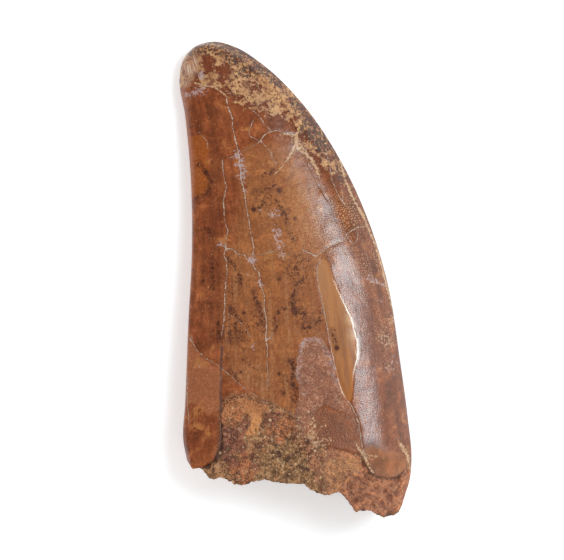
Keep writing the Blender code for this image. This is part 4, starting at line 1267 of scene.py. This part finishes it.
# THE SANDSTONE
# Sand that filled the pulp cavity after the tooth broke, cemented into rough tan and brown
# stone. It stands bare in the broken wall of the root and on the break.
SAND_ROWS = 190
SAND_COLUMNS = 200
SAND_STEPS = 60
SAND_STRIDE = 4
SAND_UP = 0.235
SAND_ACROSS = (0.012, 0.70)
SAND_SINK = 0.35
GRAIN_SIZE = 0.55
COARSE_LUMPS = (0.45, 4.5)
FINE_LUMPS = (0.35, 1.6)
GRAIN_HEIGHT = 0.25
CREVICE_DEPTH = 0.8
CREVICE_REACH = 1.4
SAND_HIDDEN = 1.9
# How the stone's smooth skin, crevices and sunk middle run into the rest of it.
SKIN_EDGE = 1.5
SKIN_SMOOTHS = 0.6
SKIN_RAISES = 0.7
LEFT_SIDE = -9.0
CREVICE_RUN_IN = 6.0
CREVICE_LUMPS = (0.75, 0.5, 2.2)
SINK_RUN = 2.5
# Where the stone comes up: inside the window's border at its left, and past it elsewhere. Beyond
# that it dips behind the wall of the tooth, and its underside stands clear of the under face.
LEFT_RUN = 4.0
MEETS_LEFT = 0.25
MEETS_RIGHT = 0.45
HIDDEN_RUN = 1.2
SAND_FLOOR = 0.22
BREAK_HIDDEN = 1.9
STAINED_FROM = -41.0
SAND_BREAK = ((0.5, 2.2), (0.25, 0.7))
SAND_CREASES = ((1.0, 3.0), (0.35, 1.0))
# A smooth skin and a streak of ochre, as outlines, and round stains and patches of painted shade.
SKIN = [
    (-15.5, -22.6), (-11.1, -22.4), (-6.2, -24.2), (-4.7, -26.0), (-7.2, -27.2), (-9.4, -27.0),
    (-11.4, -27.4), (-12.8, -28.8), (-14.0, -29.0), (-15.5, -28.6),
]
OCHRE_STREAK = [
    (-10.4, -25.0), (-9.2, -24.4), (-7.6, -26.0), (-6.6, -27.9), (-7.0, -29.5), (-8.2, -31.0),
    (-9.3, -31.7), (-9.9, -31.0), (-9.0, -30.1), (-8.5, -28.9), (-8.9, -27.8), (-9.8, -26.8),
]
SAND_PATCHES = {
    "rust": [
        (-12.6, -26.4, 2.4, 1.0), (-8.8, -25.2, 2.2, 0.9), (-13.3, -28.4, 1.8, 0.9),
        (-10.6, -38.6, 1.8, 1.0), (-9.7, -39.9, 1.2, 1.0), (-1.3, -28.8, 2.0, 0.9),
        (-3.5, -30.8, 2.2, 0.8), (-9.8, -36.2, 1.4, 0.8), (-11.2, -33.0, 1.4, 0.6),
        (-13.0, -38.0, 1.0, 0.8), (-6.8, -34.4, 1.2, 0.5),
    ],
    "violet": [
        (-13.5, -31.5, 1.6, 1.1), (-11.0, -30.6, 1.2, 1.0), (-13.0, -33.2, 1.4, 1.1),
        (-9.7, -29.2, 1.0, 0.8), (-12.4, -36.8, 1.2, 0.9), (-5.3, -28.3, 1.3, 1.0),
        (-10.6, -33.7, 1.2, 0.9), (-14.0, -35.4, 1.2, 1.0), (-8.0, -37.6, 0.9, 0.7),
        (-14.6, -24.9, 0.9, 0.9), (-14.4, -28.0, 0.7, 1.0), (-3.6, -27.6, 0.8, 0.7),
    ],
    "olive": [
        (-0.8, -36.4, 3.2, 1.0), (-5.3, -35.2, 2.4, 0.9), (-3.5, -38.6, 2.8, 1.0),
        (2.0, -39.5, 2.4, 1.0), (-2.2, -33.0, 1.8, 0.7), (3.4, -41.6, 2.0, 0.8),
        (-7.4, -40.2, 1.6, 0.6),
    ],
    "tan": [
        (-16.4, -38.6, 2.2, 1.1), (-9.3, -32.4, 1.6, 0.7), (-7.0, -31.9, 1.6, 0.8),
        (-5.6, -40.4, 1.6, 0.5), (1.6, -33.6, 1.2, 0.7), (3.6, -36.0, 1.3, 0.9),
        (4.6, -39.0, 1.2, 0.9), (-14.2, -39.4, 1.6, 0.8),
    ],
    "pinkish": [
        (1.4, -30.2, 1.5, 1.0), (2.6, -33.2, 1.6, 1.0), (3.8, -36.2, 1.7, 1.0),
        (5.2, -39.2, 1.8, 1.0), (0.4, -27.8, 1.3, 0.8), (6.4, -42.0, 1.8, 0.8),
    ],
    # Painted shade in the gaps beside the left lobe's edge and in a few holes in the stone.
    "shaded_gaps": [
        (-16.0, -36.3, 0.7, 1.2), (-17.6, -37.5, 0.8, 1.2), (-14.9, -31.6, 0.6, 1.0),
        (-1.6, -35.9, 1.0, 0.6), (-14.7, -29.4, 0.6, 1.0), (-15.0, -35.2, 0.6, 1.1),
        (-3.4, -34.9, 0.8, 0.6), (1.6, -37.8, 1.0, 0.6), (-9.0, -41.0, 0.9, 0.6),
        (-14.9, -33.6, 0.7, 0.9),
    ],
}


def sandy_relief(x, y, window):
    """Lumps, and grains that stand out one by one."""
    skin = ease(line_distance(x, y, SKIN, closed=True) / SKIN_EDGE + 0.5)
    from_grain = np.array([
        noise.voronoi(Vector((px / GRAIN_SIZE, py / GRAIN_SIZE, 3.0)))[0][0]
        for px, py in zip(x.ravel(), y.ravel())
    ]).reshape(x.shape)
    rough = layered(x, y, 0.0, COARSE_LUMPS) + layered(x, y, 21.0, FINE_LUMPS)
    rough += GRAIN_HEIGHT * (0.5 - from_grain)
    crevice = np.exp(-(np.maximum(window, 0) / CREVICE_REACH))
    crevice = ease((LEFT_SIDE - x) / CREVICE_RUN_IN) * crevice
    least, more, size = CREVICE_LUMPS
    crevice *= least + more * lumps(x, y, size, 25.0)
    sink = SAND_SINK * (1 - SKIN_RAISES * skin) * ease(window / SINK_RUN)
    return (1 - SKIN_SMOOTHS * skin) * (rough - CREVICE_DEPTH * crevice) - sink


up = np.linspace(0, SAND_UP, SAND_ROWS + 1)
across = np.linspace(*SAND_ACROSS, SAND_COLUMNS + 1)
x, y = blade_plan(up, across)
smooth_upper, under, inside = blade_heights(up, across)
window = line_distance(x, y, WINDOW, closed=True)
on_left = ease((LEFT_SIDE - x) / LEFT_RUN)
meets = MEETS_LEFT * on_left - MEETS_RIGHT * (1 - on_left)
hidden = ease((meets - window) / HIDDEN_RUN)
sandy = upper_relief(x, y) + sandy_relief(x, y, window)
top = smooth_upper + inside * (sandy - SAND_HIDDEN * hidden)
bottom = under + SAND_FLOOR * (smooth_upper - under)
down = np.linspace(0, 1, SAND_STEPS + 1)[:, None]
break_x, break_y, break_z = break_sheet(
    x, y, top, y, bottom, down, across,
    lambda wide, z: layered(wide, z, 23.0, *SAND_BREAK),
)
inside_mouth = mouth_distance(break_x, break_z)
break_y = break_y + BREAK_HIDDEN * ease((MEETS_LEFT - inside_mouth) / HIDDEN_RUN)
upper_y = y.copy()
upper_y[0] = break_y[0]
sand_marks = {
    "ochre_streak": (line_distance(x, y, OCHRE_STREAK, closed=True), FAR, FAR),
    "skin": (line_distance(x, y, SKIN, closed=True), FAR, FAR),
    "creases": (np.abs(layered(x, y, 27.0, *SAND_CREASES)), 1.0, 1.0),
}
for name, patches in SAND_PATCHES.items():
    on_break = blotches(break_x, STAINED_FROM, patches)
    sand_marks[name] = (blotches(x, y, patches), 0.0, on_break)
sandstone = build_piece(
    "sandstone_filling",
    [(x, upper_y, top), (x[:, ::SAND_STRIDE], y[:, ::SAND_STRIDE], bottom[:, ::SAND_STRIDE]),
     (break_x, break_y, break_z)],
    SAND_STRIDE, walls=True, marks=sand_marks,
)
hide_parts("sandstone")
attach(sandstone, "root")

# Colours of the stone, of its stains and of its painted shade.
SAND_BROWN = (0.340, 0.120, 0.048, 1)
SAND_PALE = (0.720, 0.450, 0.250, 1)
SAND_RUST = (0.470, 0.145, 0.052, 1)
SAND_VIOLET = (0.255, 0.072, 0.047, 1)
SAND_OLIVE = (0.385, 0.190, 0.076, 1)
SAND_TAN = (0.480, 0.220, 0.092, 1)
SAND_CREASE_SHADE = (0.050, 0.020, 0.013, 1)
SAND_PINKISH = (0.420, 0.165, 0.080, 1)
SAND_DARK_GRAIN_AND_SHADE = (0.085, 0.032, 0.018, 1)
STREAK_COLOUR = (0.700, 0.290, 0.100, 1)
SKIN_COLOUR = (0.460, 0.165, 0.060, 1)
SAND_ROUGHNESS = 0.85
GRAIN_BUMP = 0.22 * MM

material, tree, surface, places = new_material("cemented sand")
settings = {"Place": places, "Size": 0.40}
tint, gap, height = (
    use_group(tree, sand_grains, settings, output) for output in ("Tint", "Gap", "Height")
)
cloudy = noise_value(tree, places, 1.6, 5.0, 0.66, 0.4)
fine = noise_value(tree, places, 0.35, 3.0, 0.65)
colour = blend(tree, fade(tree, cloudy, 0.40, 0.60), SAND_BROWN, SAND_TAN)
stains = (
    ("olive", 1.6, 0.85, SAND_OLIVE), ("rust", 3.0, 0.75, SAND_RUST), ("tan", 1.6, 0.85, SAND_TAN),
    ("pinkish", 1.6, 0.85, SAND_PINKISH), ("violet", 3.0, 0.70, SAND_VIOLET),
)
for name, break_up, share, stain in stains:
    stained = area(tree, cloudy, name, break_up=break_up)
    colour = blend(tree, times(tree, stained, share), colour, stain)
colour = lighten(tree, colour, fine, 0.30)
colour = lighten(tree, colour, cloudy, 0.42)
colour = blend(tree, fade(tree, tint, 0.80, 1.0, 0.0, 0.65), colour, SAND_PALE)
colour = blend(tree, fade(tree, tint, 0.24, 0.05, 0.0, 0.55), colour, SAND_DARK_GRAIN_AND_SHADE)
# Painted shade: darker between the grains, in hollows, in gaps and along creases.
colour = paint(tree, colour, SAND_DARK_GRAIN_AND_SHADE, 0.35, gap)
painted_hollow_shade = calculate(tree, "MULTIPLY_ADD", area(tree, cloudy, "olive"), 0.10, 0.24)
colour = paint(tree, colour, SAND_DARK_GRAIN_AND_SHADE, 0.78, spots(tree, places, painted_hollow_shade, 1.1, 30.0))
colour = paint(tree, colour, SAND_PALE, 0.5, spots(tree, places, 0.18, 0.7, 50.0))
colour = paint(tree, colour, SAND_DARK_GRAIN_AND_SHADE, 0.9, area(tree, cloudy, "shaded_gaps", 0.30, 0.60, 2.0))
cleft = roughen(tree, read_mark(tree, "creases"), fine, 0.5)
colour = paint(tree, colour, SAND_CREASE_SHADE, 0.50, fade(tree, cleft, -0.02, 0.16, 1.0, 0.0))
streak = patch(tree, places, "ochre_streak", 0.35, 0.8, 0.9)
streak_colour = lighten(tree, STREAK_COLOUR, fine, 0.25)
colour = paint(tree, colour, streak_colour, 0.85, streak)
skin = times(tree, patch(tree, places, "skin", 0.8, 0.9, 1.2), fade(tree, fine, 0.36, 0.52))
colour = paint(tree, colour, lighten(tree, SKIN_COLOUR, fine, 0.40), 0.88, skin)
colour = paint(tree, colour, SAND_PALE, 0.85, dotted(tree, places, 0.10, 1.25, 0.36))
tree.links.new(colour, surface.inputs["Base Color"])
surface.inputs["Roughness"].default_value = SAND_ROUGHNESS
bump = add_node(tree, "Bump", {"Strength": 1.0, "Distance": GRAIN_BUMP, "Height": height})
tree.links.new(bump.outputs[0], surface.inputs["Normal"])
sandstone.data.materials.append(material)


# THE TABLE AND LIGHT
# A plain white table top that glows a little, so that it stays pale in the shade. One soft
# strip light hangs over the bowed edge, and even light comes from all round.
TABLE_SIZE = 3.0
TABLE_WHITE = (0.95, 0.95, 0.95, 1)
TABLE_ROUGHNESS = 0.9
TABLE_GLOW = 0.30
WHITE = (1, 1, 1, 1)
STRIP_PLACE = (0.350, 0.180, 0.580)
STRIP_SIZE = (0.25, 0.32)
STRIP_POWER = 2.55
STRIP_COLOUR = (0.82, 0.96, 1.03)
STUDIO_LIGHT = 0.72
bpy.ops.mesh.primitive_plane_add(size=TABLE_SIZE)
table = bpy.context.object
table.name = "table_top"
material, tree, surface, _ = new_material("white table top")
surface.inputs["Base Color"].default_value = TABLE_WHITE
surface.inputs["Roughness"].default_value = TABLE_ROUGHNESS
surface.inputs["Emission Color"].default_value = WHITE
surface.inputs["Emission Strength"].default_value = TABLE_GLOW
table.data.materials.append(material)

light = bpy.data.lights.new("strip_light", "AREA")
light.shape = "RECTANGLE"
light.size, light.size_y = STRIP_SIZE
light.energy = STRIP_POWER
light.color = STRIP_COLOUR
strip = bpy.data.objects.new("strip_light", light)
bpy.context.scene.collection.objects.link(strip)
strip.location = STRIP_PLACE
strip.rotation_euler = (-Vector(STRIP_PLACE)).to_track_quat("-Z", "Y").to_euler()
strip.visible_camera = False

world = bpy.data.worlds.new("studio")
world.use_nodes = True
world.node_tree.nodes["Background"].inputs["Color"].default_value = WHITE
world.node_tree.nodes["Background"].inputs["Strength"].default_value = STUDIO_LIGHT
world.cycles_visibility.glossy = False
bpy.context.scene.world = world
bpy.context.scene.view_settings.view_transform = "Standard"

# THE CAMERA
# It looks straight down on the tooth with a long lens, and +Y is up in its view. A pixel is
# 0.2 mm on the plane of the cutting edges.
PIXEL = 0.2 * MM
VIEW_WIDTH = 564 * PIXEL
CAMERA_CENTRE = (-2.65 * MM, -0.65 * MM)
CAMERA_DISTANCE = 0.6
EDGE_PLANE = 8.5 * MM
camera = bpy.data.cameras.new("camera")
camera.sensor_width = 36.0
camera.lens = camera.sensor_width * CAMERA_DISTANCE / VIEW_WIDTH
camera_holder = bpy.data.objects.new("camera", camera)
camera_holder.location = (*CAMERA_CENTRE, CAMERA_DISTANCE + EDGE_PLANE)
bpy.context.scene.collection.objects.link(camera_holder)
bpy.context.scene.camera = camera_holder
